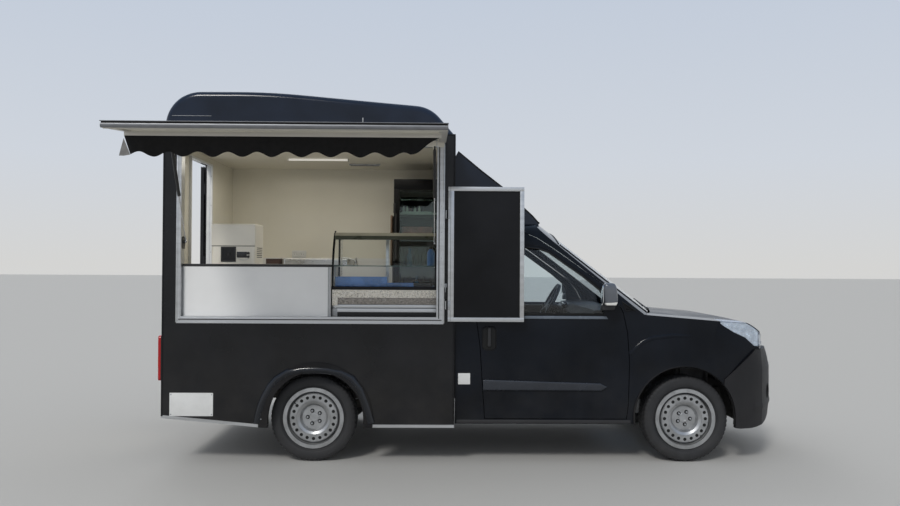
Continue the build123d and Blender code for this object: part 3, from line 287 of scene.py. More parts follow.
def gloss_black(name, tint, rough, level, flake, dust=0.1):
    shade = keep(name, rough, 0, 0, level)
    shade.colour(shade.dusted(shade.mottle(tint, 0.25, 3), 0.25, 1, dust))
    shade.uneven_gloss(0.04, 5)
    shade.bump(shade.noise(flake, 2), 0.05, 0.0004)


gloss_black("body_paint", (0.0055, 0.0075, 0.012), 0.12, 0.16, 260, 0.08)
gloss_black("bonnet_paint", (0.008, 0.0125, 0.023), 0.2, 0.02, 260, 0.05)
gloss_black("flare_gloss", (0.007, 0.0092, 0.014), 0.16, 0.45, 260, 0.04)
# Black roof cap and wind deflector; the blue in their tint is a painted sky reflection.
gloss_black("roof_black", (0.009, 0.015, 0.03), 0.16, 0.34, 120, 0.06)
gloss_black("board_black", BLACK, 0.22, 0.2, 500)


def two_sided_panel():
    """Black coated outside and cream lining inside, by where the surface lies in the box."""
    shade = keep("box_panel", 0.2, 0, 0.15, 0.25)
    inside = shade.math("LESS_THAN", shade.math("ABSOLUTE", shade.axis(1)), LINING_SIDE)
    for axis, test, limit in ((0, "GREATER_THAN", LINING_REAR), (0, "LESS_THAN", LINING_FRONT),
                              (2, "GREATER_THAN", LINING_LOW)):
        inside = shade.math("MULTIPLY", inside, shade.math(test, shade.axis(axis), limit))
    black = shade.dusted(shade.mottle(BLACK, 0.25, 3), 0.25, 1.1, 0.09)
    shade.colour(shade.mix(inside, black, shade.mottle(CREAM, 0.03, 2)))
    shade.uneven_gloss(0.05, 4)
    shade.bump(shade.noise(90, 2), 0.04, 0.0005)


def flap_panel():
    """Cream coated sandwich panel."""
    shade = keep("flap_panel", 0.34)
    shade.colour(shade.mottle((0.7, 0.67, 0.59), 0.04, 2))
    shade.uneven_gloss(0.05, 6)
    shade.bump(shade.noise(150, 2), 0.04, 0.0005)


def plain(name, base, rough, metallic=0, grain=0, depth=0.1, spread=0.1, scale=8, dust=0, stretch=(1, 1, 1),
          level=0.5):
    shade = keep(name, rough, metallic, 0, level)
    clean = shade.mottle(base, spread, scale, 5, stretch)
    shade.colour(shade.dusted(clean, 0.1, 0.9, dust) if dust else clean)
    shade.uneven_gloss(0.06, scale, stretch)
    if grain:
        shade.bump(shade.noise(grain, 2, stretch), depth, 0.0006)
    return shade


def floor_cover():
    shade = keep("floor_cover", 0.7)
    studs = shade.voronoi(Scale=40, Randomness=0)
    shade.colour(shade.mottle((0.17, 0.17, 0.175), 0.2, 12))
    shade.bump(shade.ramp(studs["Distance"], ((0.28, (1,) * 3), (0.36, (0,) * 3))), 0.5, 0.001)


def cloth(name, base, rough, count, strength):
    """A plain weave at the given thread count per metre."""
    shade = keep(name, rough, 0, 0, 0.2)
    shade.set("Sheen Weight", 0.15)
    waves = []
    for axis in ("X", "Z"):
        wave = shade.node("TexWave", wave_type="BANDS", bands_direction=axis)
        wave.inputs["Scale"].default_value = count
        wave.inputs["Distortion"].default_value = 0.4
        shade.give(wave.inputs["Vector"], shade.place)
        waves.append(wave.outputs[1])
    weave = shade.math("MULTIPLY", *waves)
    light_thread = tuple(min(1, channel * 1.5) for channel in base)
    tone = shade.mix(weave, base, light_thread)
    shade.colour(shade.mix(shade.noise(5, 5), tone, shade.mottle(base, 0.25, 30)))
    shade.bump(weave, strength, 0.0006)


def stone(name, base, fleck, dark):
    shade = keep(name, 0.25, 0, 0.3)
    coarse = shade.voronoi(Scale=190)
    fine = shade.voronoi(Scale=420)
    spots = shade.ramp(coarse["Color"], ((0.3, fleck), (0.46, base), (0.7, base), (0.8, dark)))
    grain = shade.ramp(fine["Color"], ((0.35, dark), (0.45, base)))
    shade.colour(shade.mix(0.45, spots, grain))
    shade.uneven_gloss(0.05, 60)


def glass(name, tint, ior=1.35):
    shade = keep(name, 0)
    shade.set("Transmission Weight", 1)
    shade.set("IOR", ior)
    shade.colour(shade.mottle(tint, 0.03, 1.5))


def banded(name, bands):
    """Colours that change with the height: (lower edge, colour), from the bottom up."""
    shade = keep(name, 0.4, 0, 0, 0.4)
    height = shade.axis(2)
    colour = shade.mottle(bands[0][1], 0.03, 3)
    for edge, next_colour in bands[1:]:
        above = shade.math("GREATER_THAN", height, edge)
        colour = shade.mix(above, colour, shade.mottle(next_colour, 0.03, 3))
    shade.colour(colour)
    shade.uneven_gloss(0.06, 20)
    shade.bump(shade.noise(300, 2), 0.05, 0.0004)


plain("cream_lining", CREAM, 0.35, spread=0.03, scale=2, grain=120, depth=0.04)
plain("trim_black", (0.01, 0.01, 0.012), 0.55, grain=1400, depth=0.25, dust=0.08, level=0.35)
plain("dash_black", (0.02, 0.02, 0.022), 0.6, grain=900, depth=0.3)
plain("chassis_black", (0.02, 0.02, 0.02), 0.7, grain=160, depth=0.3, dust=0.5)
plain("engine_metal", (0.16, 0.16, 0.165), 0.5, 0.8, grain=300, depth=0.4, spread=0.3)
plain("wheel_silver", (0.42, 0.43, 0.44), 0.38, 0.75, grain=700, spread=0.15, scale=14, dust=0.22)
plain("rubber", (0.018, 0.019, 0.022), 0.7, grain=500, depth=0.25, spread=0.2, scale=20, dust=0.1)
plain("aluminium", (0.6, 0.61, 0.62), 0.34, 1, grain=260, depth=0.12, spread=0.08, scale=30,
      stretch=(0.04, 1, 1))
plain("bright_steel", (0.62, 0.62, 0.63), 0.18, 1, grain=300, depth=0.05, spread=0.06, scale=20)
plain("zinc", (0.45, 0.46, 0.47), 0.42, 1, grain=400, depth=0.2, spread=0.15, scale=60)
plain("white_laminate", (0.74, 0.735, 0.72), 0.42, spread=0.02, scale=3, grain=350, depth=0.06)
plain("worktop_black", (0.015, 0.015, 0.016), 0.35, spread=0.2, grain=500)
plain("cream_plastic", (0.82, 0.79, 0.71), 0.35, spread=0.03, scale=6, grain=600, depth=0.06)
plain("dark_metal", (0.005, 0.005, 0.006), 0.35, level=0.12, grain=400, depth=0.08)
plain("satin_black", (0.014, 0.014, 0.015), 0.4, grain=500)
plain("steel_brushed", (0.6, 0.61, 0.61), 0.3, 0.9, grain=300, depth=0.08, spread=0.06, scale=20,
      stretch=(1, 0.05, 1))
plain("display_dark", (0.008, 0.01, 0.014), 0.12, level=0.6)
plain("case_olive", (0.055, 0.062, 0.045), 0.3, grain=300, depth=0.05)
plain("case_beige", (0.36, 0.34, 0.26), 0.35, grain=300, depth=0.05)
plain("glass_edge", (0.035, 0.1, 0.075), 0.15, scale=30, level=0.6)
plain("blue_film", (0.1, 0.24, 0.55), 0.25, spread=0.25, scale=9)
plain("blue_plastic", (0.06, 0.2, 0.48), 0.3, scale=20)
plain("white_plastic", (0.7, 0.7, 0.68), 0.35, spread=0.03, scale=20, grain=600, depth=0.05)
plain("crate_brown", (0.055, 0.03, 0.024), 0.5, spread=0.2, scale=20, grain=300, depth=0.15)
plain("wood_edge", (0.2, 0.125, 0.075), 0.5, spread=0.25, scale=14, grain=200, depth=0.15,
      stretch=(1, 1, 0.08))
plain("carton_pink", (0.62, 0.2, 0.17), 0.5, spread=0.2, scale=20, grain=200)
plain("bottle_dark", (0.05, 0.028, 0.014), 0.15, spread=0.2, scale=20, level=0.6)
plain("white_frame", (0.72, 0.73, 0.73), 0.35, 0.1, grain=300, depth=0.05, spread=0.04, scale=12)
plain("handle_black", (0.02, 0.02, 0.022), 0.45, grain=900, depth=0.15)
plain("rub_black", (0.017, 0.021, 0.03), 0.24, grain=900, depth=0.05, level=0.6)
# Pale blue-grey on the black belt strip under the side windows: a painted reflection of the sky.
plain("belt_strip_painted_reflection", (0.12, 0.145, 0.18), 0.25, spread=0.05)
plain("grille_black", (0.014, 0.014, 0.015), 0.5, grain=700, depth=0.15)
plain("mirror_paint", (0.085, 0.095, 0.115), 0.1, level=0.9, spread=0.05)
plain("mirror_face", (0.7, 0.72, 0.74), 0.04, 1, spread=0.02)
plain("lamp_chrome", (0.8, 0.82, 0.85), 0.1, 1, spread=0.03, scale=30)
plain("lamp_bulb", (0.75, 0.78, 0.82), 0.15, spread=0.03, scale=40)
# Aluminium of the flap's front edge, darkened as painted shade.
plain("flap_edge_painted_shade", (0.17, 0.175, 0.185), 0.4, 0.55, spread=0.08, scale=20, grain=260)
plain("seat_side", (0.03, 0.03, 0.034), 0.7, grain=500, depth=0.3)
plain("lens_amber", (0.62, 0.2, 0.02), 0.15, spread=0.05, scale=40)
plain("lens_white", (0.62, 0.62, 0.6), 0.15, spread=0.05, scale=40)
plain("lens_red", (0.42, 0.008, 0.01), 0.14, spread=0.06, scale=40)
plain("seal_black", (0.01, 0.01, 0.01), 0.6, grain=300, level=0.3)
plain("aluminium_warm", (0.6, 0.575, 0.53), 0.45, 0.4, grain=260, depth=0.08, spread=0.05, scale=12,
      stretch=(0.04, 1, 1))
plain("grey_edge", (0.42, 0.43, 0.44), 0.5, 0.3, grain=300)
reflector = plain("reflector", (0.66, 0.74, 0.84), 0.22, 0.75, spread=0.12, scale=26, level=0.6)
reflector.bump(reflector.noise(70, 1), 0.55, 0.004)
lamp_glow = plain("lamp_glow", (0.85, 0.85, 0.83), 0.4, spread=0.03, scale=20)
lamp_glow.set("Emission Color", (1, 0.95, 0.85, 1))
lamp_glow.set("Emission Strength", 0.35)
two_sided_panel()
flap_panel()
floor_cover()
cloth("awning_cloth", (0.01, 0.01, 0.011), 0.85, 420, 0.3)
cloth("cloth_lining", (0.2, 0.2, 0.2), 0.85, 420, 0.3)
cloth("seat_cloth", (0.045, 0.045, 0.05), 0.9, 260, 0.5)
stone("granite", (0.84, 0.79, 0.69), (0.96, 0.94, 0.89), (0.18, 0.17, 0.15))
stone("granite_dark", (0.3, 0.27, 0.24), (0.5, 0.47, 0.42), (0.06, 0.055, 0.05))
glass("clear_glass", (0.93, 0.96, 0.96))
glass("case_glass", (0.8, 0.9, 0.87))
glass("tinted_glass", (0.82, 0.88, 0.9))
glass("lens_clear", (0.97, 0.98, 0.99), 1.12)
banded("counter_panel", (
    (0, (0.83, 0.84, 0.85)), (1.4315, (0.012, 0.012, 0.013)), (1.4499, (0.58, 0.58, 0.57))))
banded("case_body", (
    (0, (0.012, 0.012, 0.012)), (1.1, (0.4, 0.41, 0.42)), (1.158, (0.2, 0.18, 0.155)),
    (1.2066, (0.45, 0.41, 0.35)), (1.2655, (0.01, 0.01, 0.01)), (1.6405, (0.055, 0.062, 0.045))))

NODE_MATERIALS = {
    "chassis_black": "chassis_frame rear_axle knuckle_left knuckle_right cab_floor",
    "engine_metal": "engine_block",
    "satin_black": "fuel_tank strut_barrel_front strut_barrel_rear",
    "body_paint": "cab_roof cab_side_left cab_side_right cab_door_left cab_door_right",
    "bonnet_paint": "bonnet",
    "tinted_glass": "door_glass_left door_glass_right windscreen",
    "trim_black": "mirror_left mirror_right grille front_bumper",
    "dash_black": "dashboard",
    "seat_cloth": "seats",
    "lens_clear": "headlamps",
    "lens_red": "rear_lamps",
    "roof_black": "wind_deflector roof_cap",
    "floor_cover": "box_floor",
    "box_panel": "left_wall right_wall rear_wall front_wall entrance_door",
    "cream_lining": "ceiling",
    "aluminium": "skirt_rails opening_frame",
    "flap_panel": "flap",
    "awning_cloth": "valance",
    "bright_steel": "strut_rod_front strut_rod_rear",
    "board_black": "side_panel arch_flares",
    "white_laminate": "back_counter",
    "counter_panel": "counter",
    "case_body": "display_case",
    "dark_metal": "fridge fridge_door",
    "clear_glass": "display_glass",
    "cream_plastic": "drinks_machine",
    "wheel_silver": "rim_front_left rim_front_right rim_rear_left rim_rear_right",
    "rubber": "tyre_front_left tyre_front_right tyre_rear_left tyre_rear_right",
}
for material_name, users in NODE_MATERIALS.items():
    for user in users.split():
        slots = nodes[user].data.materials
        slots.clear()
        slots.append(materials[material_name])


# Ways to make pieces
UP = (0, 0, 1)
OUTWARD = (0, -1, 0)
SIDES = ((-1, "right"), (1, "left"))
DOOR_SIDES = ((-1, "right", "vehicle"), (1, "left", "cab_door_left"))
WALL = -0.9495


class Form:
    """One piece of mesh, put together from simple forms in its materials."""

    def __init__(self, *names):
        self.mesh = bmesh.new()
        self.names = names
        self.slot = 0

    def use(self, name):
        self.slot = self.names.index(name)
        return self

    def take(self, part, turn=None):
        if turn is not None:
            bmesh.ops.transform(part, matrix=turn, verts=part.verts)
        for face in part.faces:
            face.material_index = self.slot
        data = bpy.data.meshes.new("part")
        part.to_mesh(data)
        part.free()
        self.mesh.from_mesh(data)
        bpy.data.meshes.remove(data)
        return self

    def finish(self, part, edge, steps, turn):
        if edge:
            bmesh.ops.bevel(
                part, geom=part.edges[:], offset=edge, segments=steps, profile=0.6, affect="EDGES")
        return self.take(part, turn)

    def bar(self, low, high, edge=0.002, steps=2, turn=None):
        """A bar between two corners, its edges rounded."""
        part = bmesh.new()
        size = [abs(b - a) for a, b in zip(low, high)]
        middle = [(a + b) / 2 for a, b in zip(low, high)]
        bmesh.ops.create_cube(part, size=1, matrix=Matrix.Translation(middle) @ Matrix.Diagonal((*size, 1)))
        return self.finish(part, min(edge, min(size) * 0.45), steps, turn)

    def plates(self, depth, edge, *spans):
        """Bars of one depth in Y, by their corners (x, z, x, z)."""
        for x0, z0, x1, z1 in spans:
            self.bar((x0, depth[0], z0), (x1, depth[1], z1), edge)
        return self

    def prism(self, points, along, start, end, edge=0, steps=2, turn=None):
        """An outline in the two other axes, drawn out along X, Y or Z."""
        order = {"X": (2, 0, 1), "Y": (0, 2, 1), "Z": (0, 1, 2)}[along]
        part = bmesh.new()
        rows = []
        for level in sorted((start, end)):
            rows.append([part.verts.new([(a, b, level)[spot] for spot in order]) for a, b in points])
            part.faces.new(rows[-1])
        low, high = rows
        for index in range(len(points)):
            after = (index + 1) % len(points)
            part.faces.new((low[index], low[after], high[after], high[index]))
        bmesh.ops.recalc_face_normals(part, faces=part.faces)
        return self.finish(part, edge, steps, turn)

    def rings(self, rows, closed=False, capped=True):
        """Skins rows of points, each row a closed ring or a single point."""
        part = bmesh.new()
        made = [[part.verts.new(point) for point in row] for row in rows]
        pairs = list(zip(made, made[1:]))
        if closed:
            pairs.append((made[-1], made[0]))
        for first, second in pairs:
            count = max(len(first), len(second))
            for index in range(count):
                after = (index + 1) % count
                corners = [first[index % len(first)], first[after % len(first)],
                           second[after % len(second)], second[index % len(second)]]
                face = [corner for spot, corner in enumerate(corners) if corner not in corners[:spot]]
                if len(face) > 2:
                    part.faces.new(face)
        if capped and not closed:
            for row in (made[0], made[-1]):
                if len(row) > 2:
                    part.faces.new(row)
        bmesh.ops.recalc_face_normals(part, faces=part.faces)
        return self.take(part)

    def tube(self, points, radius, sides=10, closed=False):
        """A round bar through points."""
        points = [Vector(point) for point in points]
        count = len(points)
        side = None
        rows = []
        for index, point in enumerate(points):
            before = points[index - 1] if index or closed else point
            after = points[(index + 1) % count] if index < count - 1 or closed else point
            way = (after - before).normalized()
            side = way.orthogonal() if side is None else side
            side = (side - way * side.dot(way)).normalized()
            across = way.cross(side)
            rows.append([
                point + radius * (side * math.cos(turn_by) + across * math.sin(turn_by))
                for turn_by in (math.tau * spot / sides for spot in range(sides))
            ])
        return self.rings(rows, closed)

    def turned(self, profile, centre, axis, sides=32, closed=False, shift=None):
        """(radius, along) points turned about the axis through the centre."""
        centre = Vector(centre)
        axis = Vector(axis).normalized()
        side = Vector((0, 0, 1)) if abs(axis.z) < 0.9 else Vector((1, 0, 0))
        side = (side - axis * side.dot(axis)).normalized()
        across = axis.cross(side)
        rows = []
        for row, (radius, along) in enumerate(profile):
            ring = []
            for spot in range(1 if radius < 1e-6 else sides):
                reach = radius + (shift(row, spot) if shift else 0)
                angle = math.tau * spot / sides
                outward = side * math.cos(angle) + across * math.sin(angle)
                ring.append(centre + axis * along + reach * outward)
            rows.append(ring)
        return self.rings(rows, closed, capped=False)

    def done(self, name, slot=None, body="vehicle", replaces=(), sharp=32):
        """Smooths all but the edges sharper than the given angle, and hands the piece over."""
        for face in self.mesh.faces:
            face.smooth = True
        for edge in self.mesh.edges:
            if len(edge.link_faces) == 2 and edge.calc_face_angle(0) > math.radians(sharp):
                edge.smooth = False
        mesh = bpy.data.meshes.new(name)
        self.mesh.to_mesh(mesh)
        self.mesh.free()
        for material in self.names:
            mesh.materials.append(materials[material])
        made = bpy.data.objects.new(name, mesh)
        scene.collection.objects.link(made)
        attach(made, body)
        if replaces:
            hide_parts(*replaces)
        return made


def spaced(start, step, count):
    return [start + step * index for index in range(count)]


def arc(centre, radius, degrees):
    """Points of a circle, at the given angles."""
    turns = [math.radians(angle) for angle in degrees]
    return [(centre[0] + radius * math.cos(turn), centre[1] + radius * math.sin(turn)) for turn in turns]


def rounded(low, high, radius, steps=5):
    """A rounded rectangle's outline."""
    (x0, y0), (x1, y1) = low, high
    points = []
    for centre, start in (((x1 - radius, y1 - radius), 0), ((x0 + radius, y1 - radius), 90),
                          ((x0 + radius, y0 + radius), 180), ((x1 - radius, y0 + radius), 270)):
        points += arc(centre, radius, [start + 90 * step / steps for step in range(steps + 1)])
    return points


def screw(form, place, axis, radius=0.005, height=0.003):
    """A low domed screw head."""
    profile = ((1, 0), (1, 0.35), (0.8, 0.8), (0.4, 1), (0, 1))
    form.turned([(radius * across, height * along) for across, along in profile], place, axis, 14)


WHEELBASE = 2.755
WHEEL_HEIGHT = 0.318
BOLT_CIRCLE = 0.049
VALVE_CIRCLE = 0.184
WHEELS = (
    # name, X, half track, outboard direction, turn of the first bolt, turn of the valve
    ("front_right", WHEELBASE, 0.755, -1, -7, -47),
    ("front_left", WHEELBASE, 0.755, 1, 0, 200),
    ("rear_right", 0, 0.765, -1, 180, 142),
    ("rear_left", 0, 0.765, 1, 0, 60),
)


def tyre(name, x, half_track, side):
    """A treaded tyre: five ribs with cross grooves, and a moulded sidewall."""
    half = (
        (0.2058, 0.0805), (0.2262, 0.0805), (0.2335, 0.085), (0.239, 0.0905), (0.2412, 0.0928),
        (0.2424, 0.092), (0.248, 0.0945), (0.258, 0.0966), (0.268, 0.0974), (0.279, 0.0971),
        (0.287, 0.0962), (0.288, 0.0948),
        (0.294, 0.0938), (0.303, 0.0905), (0.3098, 0.085), (0.313, 0.079), (0.3152, 0.06), (0.3085, 0.0585),
        (0.3085, 0.0515), (0.316, 0.05), (0.3174, 0.024), (0.31, 0.0225), (0.31, 0.0155), (0.3178, 0.014),
    )
    profile = list(half) + [(0.318, 0)] + [(radius, -across) for radius, across in reversed(half)]
    shoulder = range(12, 17)
    ribs = (19, 20, 23, 24)

    def groove(row, spot):
        near = min(row, len(profile) - 1 - row)
        if near in shoulder and spot % 6 in (0, 1):
            return -0.0032
        return -0.004 if near in ribs and spot % 6 == 3 else 0

    form = Form("rubber")
    sides = 360
    form.turned(profile, (x, side * half_track, WHEEL_HEIGHT), (0, side, 0), sides, True, groove)
    form.done("tyre_tread_" + name, "tyre", "wheel_" + name, ["tyre_" + name], 28)


VENTS = 20
VENT_CIRCLE = 0.1525
VENT_RADIUS = 0.0125
VENT_BAND = (0.127, 0.174)
VENT_RISE = 0.0028
VENT_STEPS = 24
BAND_STEPS = 120


def vent_ring(form, x, face, side):
    """Outer band of the wheel disc, with twenty round holes closed by black discs of painted shade."""
    low, high = VENT_BAND

    def place(across, along, depth):
        return (x + across, face + side * depth, WHEEL_HEIGHT + along)

    def spot(reach, way):
        return VENT_CIRCLE + reach * math.cos(way), reach * math.sin(way)

    part = bmesh.new()
    dark = bmesh.new()
    for turn in [math.tau * index / VENTS for index in range(VENTS)]:
        rings = [[], [], []]
        for step in range(VENT_STEPS):
            way = math.tau * (step + 0.5) / VENT_STEPS
            near, far = VENT_RADIUS, 0.06
            for _ in range(24):
                reach = (near + far) / 2
                out, over = spot(reach, way)
                inside = low < math.hypot(out, over) < high and abs(math.atan2(over, out)) < math.pi / VENTS
                near, far = (reach, far) if inside else (near, reach)
            reaches = ((near, VENT_RISE), (VENT_RADIUS, VENT_RISE), (VENT_RADIUS, 0.0002))
            for ring, (reach, depth) in zip(rings, reaches):
                out, over = spot(reach, way)
                across = out * math.cos(turn) - over * math.sin(turn)
                along = out * math.sin(turn) + over * math.cos(turn)
                ring.append(part.verts.new(place(across, along, depth)))
        for outer, inner in zip(rings, rings[1:]):
            for step in range(VENT_STEPS):
                part.faces.new((outer[step], outer[step - 1], inner[step - 1], inner[step]))
        # A black disc behind each hole: painted shade of the wheel's dark inside.
        dark.faces.new([dark.verts.new(vert.co + Vector((0, side * 0.0003, 0))) for vert in rings[2]])
    turns = [math.tau * step / BAND_STEPS for step in range(BAND_STEPS)]
    for reach, away in ((low, low - 0.006), (high, high + 0.006)):
        rows = [
            [part.verts.new(place(radius * math.cos(turn), radius * math.sin(turn), depth)) for turn in turns]
            for radius, depth in ((reach, VENT_RISE), (away, -0.004))]
        for step in range(BAND_STEPS):
            part.faces.new((rows[0][step], rows[0][step - 1], rows[1][step - 1], rows[1][step]))
    bmesh.ops.remove_doubles(part, verts=part.verts, dist=0.00002)
    for mesh in (part, dark):
        bmesh.ops.recalc_face_normals(mesh, faces=mesh.faces)
        if sum(face.normal.y * face.calc_area() for face in mesh.faces) * side < 0:
            bmesh.ops.reverse_faces(mesh, faces=mesh.faces)
    form.use("wheel_silver").take(part)
    form.use("seal_black").take(dark)


def wheel_trim(name, x, half_track, side, first, valve):
    """Wheel bolts, centre plate, vent band and valve on the outer face of the wheel disc."""
    face = side * (half_track + 0.04)
    axis = Vector((0, side, 0))
    form = Form("zinc", "wheel_silver", "rubber", "seal_black")
    washer = ((0.015, -0.001), (0.015, 0.0012), (0.0138, 0.0018), (0.0095, 0.0018), (0, 0.0018))
    bolt = ((0.0086, 0.003), (0.0086, 0.012), (0.007, 0.0145), (0.003, 0.0152), (0, 0.0152))
    for across, along in arc((x, WHEEL_HEIGHT), BOLT_CIRCLE, spaced(first, 72, 5)):
        form.use("seal_black").turned(washer, (across, face, along), axis, 24)
        form.use("zinc").turned(bolt, (across, face, along), axis, 6)
    plate = ((0.0352, 0.0002), (0.0352, 0.003), (0.0325, 0.0055), (0.02, 0.0062), (0.0185, 0.0052),
             (0, 0.0052))
    form.use("wheel_silver").turned(plate, (x, face, WHEEL_HEIGHT), axis, 40)
    vent_ring(form, x, side * (half_track + 0.0742), side)
    (across, along), = arc((x, WHEEL_HEIGHT), VALVE_CIRCLE, [valve])
    inward = Vector((-math.cos(math.radians(valve)), 0, -math.sin(math.radians(valve))))
    stem = ((0.0065, -0.004), (0.0065, 0.004), (0.004, 0.01), (0.004, 0.026), (0.0046, 0.027),
            (0.0046, 0.036), (0.003, 0.038), (0, 0.038))
    place = (across, side * (half_track + 0.05), along)
    form.use("rubber").turned(stem, place, axis * 0.94 + inward * 0.34, 14)
    form.done("wheel_bolts_" + name, "wheel_silver", "wheel_" + name)


for wheel in WHEELS:
    tyre(*wheel[:4])
    wheel_trim(*wheel)


# Flap: points by X, reach from the hinge and depth above it
FLAP_AXIS = (-0.9573, 2.318)
DROOP = math.radians(5.4)
FLAP = Matrix.Translation((0, *FLAP_AXIS)) @ Matrix.Rotation(DROOP, 4, "X")
FLAP_DOWN = -FLAP.to_3x3().col[2]
REAR, FRONT = FLAP_X = (-0.995, 0.965)
UNDER = 0.0277
UNDER_TRIM = (0.0262, 0.03)
TOP_TRIM = (0.0632, 0.0655)
STRUT_PIN = (-1.233958, 2.269449)
STRUT_FOOT = (-0.89, 1.611)


def flap_bar(form, x, reach, depth, edge=0.0015):
    form.bar((x[0], -reach[1], depth[0]), (x[1], -reach[0], depth[1]), edge, turn=FLAP)


def flap_trim():
    """Edge extrusions round the flap, its black outer skin and the cream inner one."""
    form = Form("flap_edge_painted_shade", "seal_black", "board_black", "cream_lining", "zinc", "aluminium_warm",
                "aluminium")
    # Front edge profile and its top, in aluminium darkened as painted shade.
    nose = ((-1.34, 0.028), (-1.346, 0.0268), (-1.351, 0.03), (-1.3535, 0.038), (-1.353, 0.047),
            (-1.3495, 0.053), (-1.34, 0.0545))
    form.prism(nose, "X", REAR - 0.002, FRONT + 0.002, turn=FLAP)
    flap_bar(form, (REAR - 0.004, FRONT + 0.004), (1.285, 1.357), (0.0625, 0.0672))
    form.use("seal_black")
    flap_bar(form, FLAP_X, (1.335, 1.344), (0.054, 0.063))
    form.use("aluminium_warm")
    for reach in ((1.29, 1.34), (0.008, 0.055)):
        flap_bar(form, FLAP_X, reach, UNDER_TRIM)
    flap_bar(form, FLAP_X, (1.312, 1.319), (0.0225, 0.028), 0.002)
    flap_bar(form, (REAR + 0.003, 0.928), (1.003, 1.011), (0.002, 0.028), 0.002)
    flap_bar(form, (REAR + 0.003, 0.928), (0.993, 1.005), (0.0235, 0.028), 0.001)
    for x in ((REAR - 0.0015, REAR + 0.05), (FRONT - 0.05, FRONT + 0.0015)):
        flap_bar(form, x, (0.055, 1.29), UNDER_TRIM)
    form.use("aluminium")
    for x in (REAR - 0.0015, FRONT - 0.0015):
        flap_bar(form, (x, x + 0.003), (0.005, 1.34), (0.0262, 0.065))
    for x in ((REAR, REAR + 0.03), (FRONT - 0.03, FRONT)):
        flap_bar(form, x, (0.005, 1.285), TOP_TRIM)
    flap_bar(form, (REAR + 0.03, FRONT - 0.03), (0.005, 0.04), TOP_TRIM)
    skin = (REAR + 0.052, FRONT - 0.052)
    form.use("board_black")
    flap_bar(form, skin, (0.057, 1.288), (0.0572, 0.059), 0.0004)
    form.use("cream_lining")
    for reach in ((0.058, 0.99), (1.024, 1.287)):
        flap_bar(form, skin, reach, (0.0326, 0.034), 0.0004)
    form.use("zinc")
    for x in spaced(-0.9, 0.225, 9):
        screw(form, FLAP @ Vector((x, -1.316, 0.0262)), FLAP_DOWN, 0.004, 0.002)
    form.done("flap_trim", "flap_skin", "flap")


def hinge_line():
    """The long hinge that carries the flap: a leaf on the head of the frame and cut knuckles."""
    form = Form("aluminium")
    form.bar((-0.983, -0.953, 2.3235), (0.953, -0.9503, 2.346), 0.001)
    knuckle = ((0.0076, 0), (0.008, 0.002), (0.008, 0.036), (0.0076, 0.038))
    for x in spaced(-0.979, 0.0806, 24):
        form.turned(knuckle, (x, *FLAP_AXIS), (1, 0, 0), 16)
    form.done("hinge_knuckles", "aluminium", "flap")


def strut_fittings():
    """End collars of the struts, plates on the flap and brackets on the frame."""
    way = Vector((0, *STRUT_FOOT)) - Vector((0, *STRUT_PIN))
    length = way.length
    upper = ((0.0048, 0.012), (0.0078, 0.014), (0.0082, 0.03), (0.0115, 0.034), (0.0118, 0.052),
             (0.0112, 0.054), (0.0112, 0.06))
    lower = ((0.0112, 0.35), (0.0119, 0.352), (0.0119, 0.37), (0.0104, 0.378), (0.0052, 0.379))
    end = [(radius, length - back) for radius, back in (
        (0.0044, 0.045), (0.007, 0.044), (0.0074, 0.016), (0.0062, 0.01), (0.0042, 0.009))]
    boss = ((0.015, 0), (0.015, 0.006), (0.012, 0.01), (0.006, 0.0115))
    for x, name, out in ((0.884, "front", 1), (-0.938, "rear", -1)):
        centre = (x, *STRUT_PIN)
        form = Form("satin_black", "zinc")
        form.turned(upper, centre, way, 20)
        form.turned(lower, centre, way, 20)
        form.done("strut_collars_" + name, "strut_black", "strut_barrel_" + name)
        form = Form("zinc")
        form.turned(end, centre, way, 16)
        form.done("strut_rod_end_" + name, "rod_steel", "strut_rod_" + name)
        form = Form("zinc" if name == "front" else "satin_black", "bright_steel")
        flap_bar(form, (x + 0.013, x + 0.017), (0.262, 0.298), (-0.026, UNDER))
        flap_bar(form, (x - 0.02, x + 0.02), (0.256, 0.304), (UNDER - 0.002, UNDER + 0.001))
        form.use("bright_steel")
        for reach in (0.262, 0.298):
            screw(form, FLAP @ Vector((x - 0.0145, -reach, UNDER - 0.002)), FLAP_DOWN, 0.004, 0.002)
        form.done("strut_plate_" + name, "strut_black", "flap")
        form = Form("satin_black", "bright_steel")
        wall = x + out * 0.017
        inward = (-out, 0, 0)
        form.prism(rounded((-0.925, 1.56), (-0.858, 1.65), 0.012), "X", wall, wall - out * 0.003)
        form.turned(boss, (wall, *STRUT_FOOT), inward, 20)
        form.use("bright_steel")
        for z in (1.572, 1.638):
            screw(form, (wall - out * 0.003, -0.87, z), inward, 0.0045, 0.003)
        form.done("strut_foot_" + name, "strut_black")


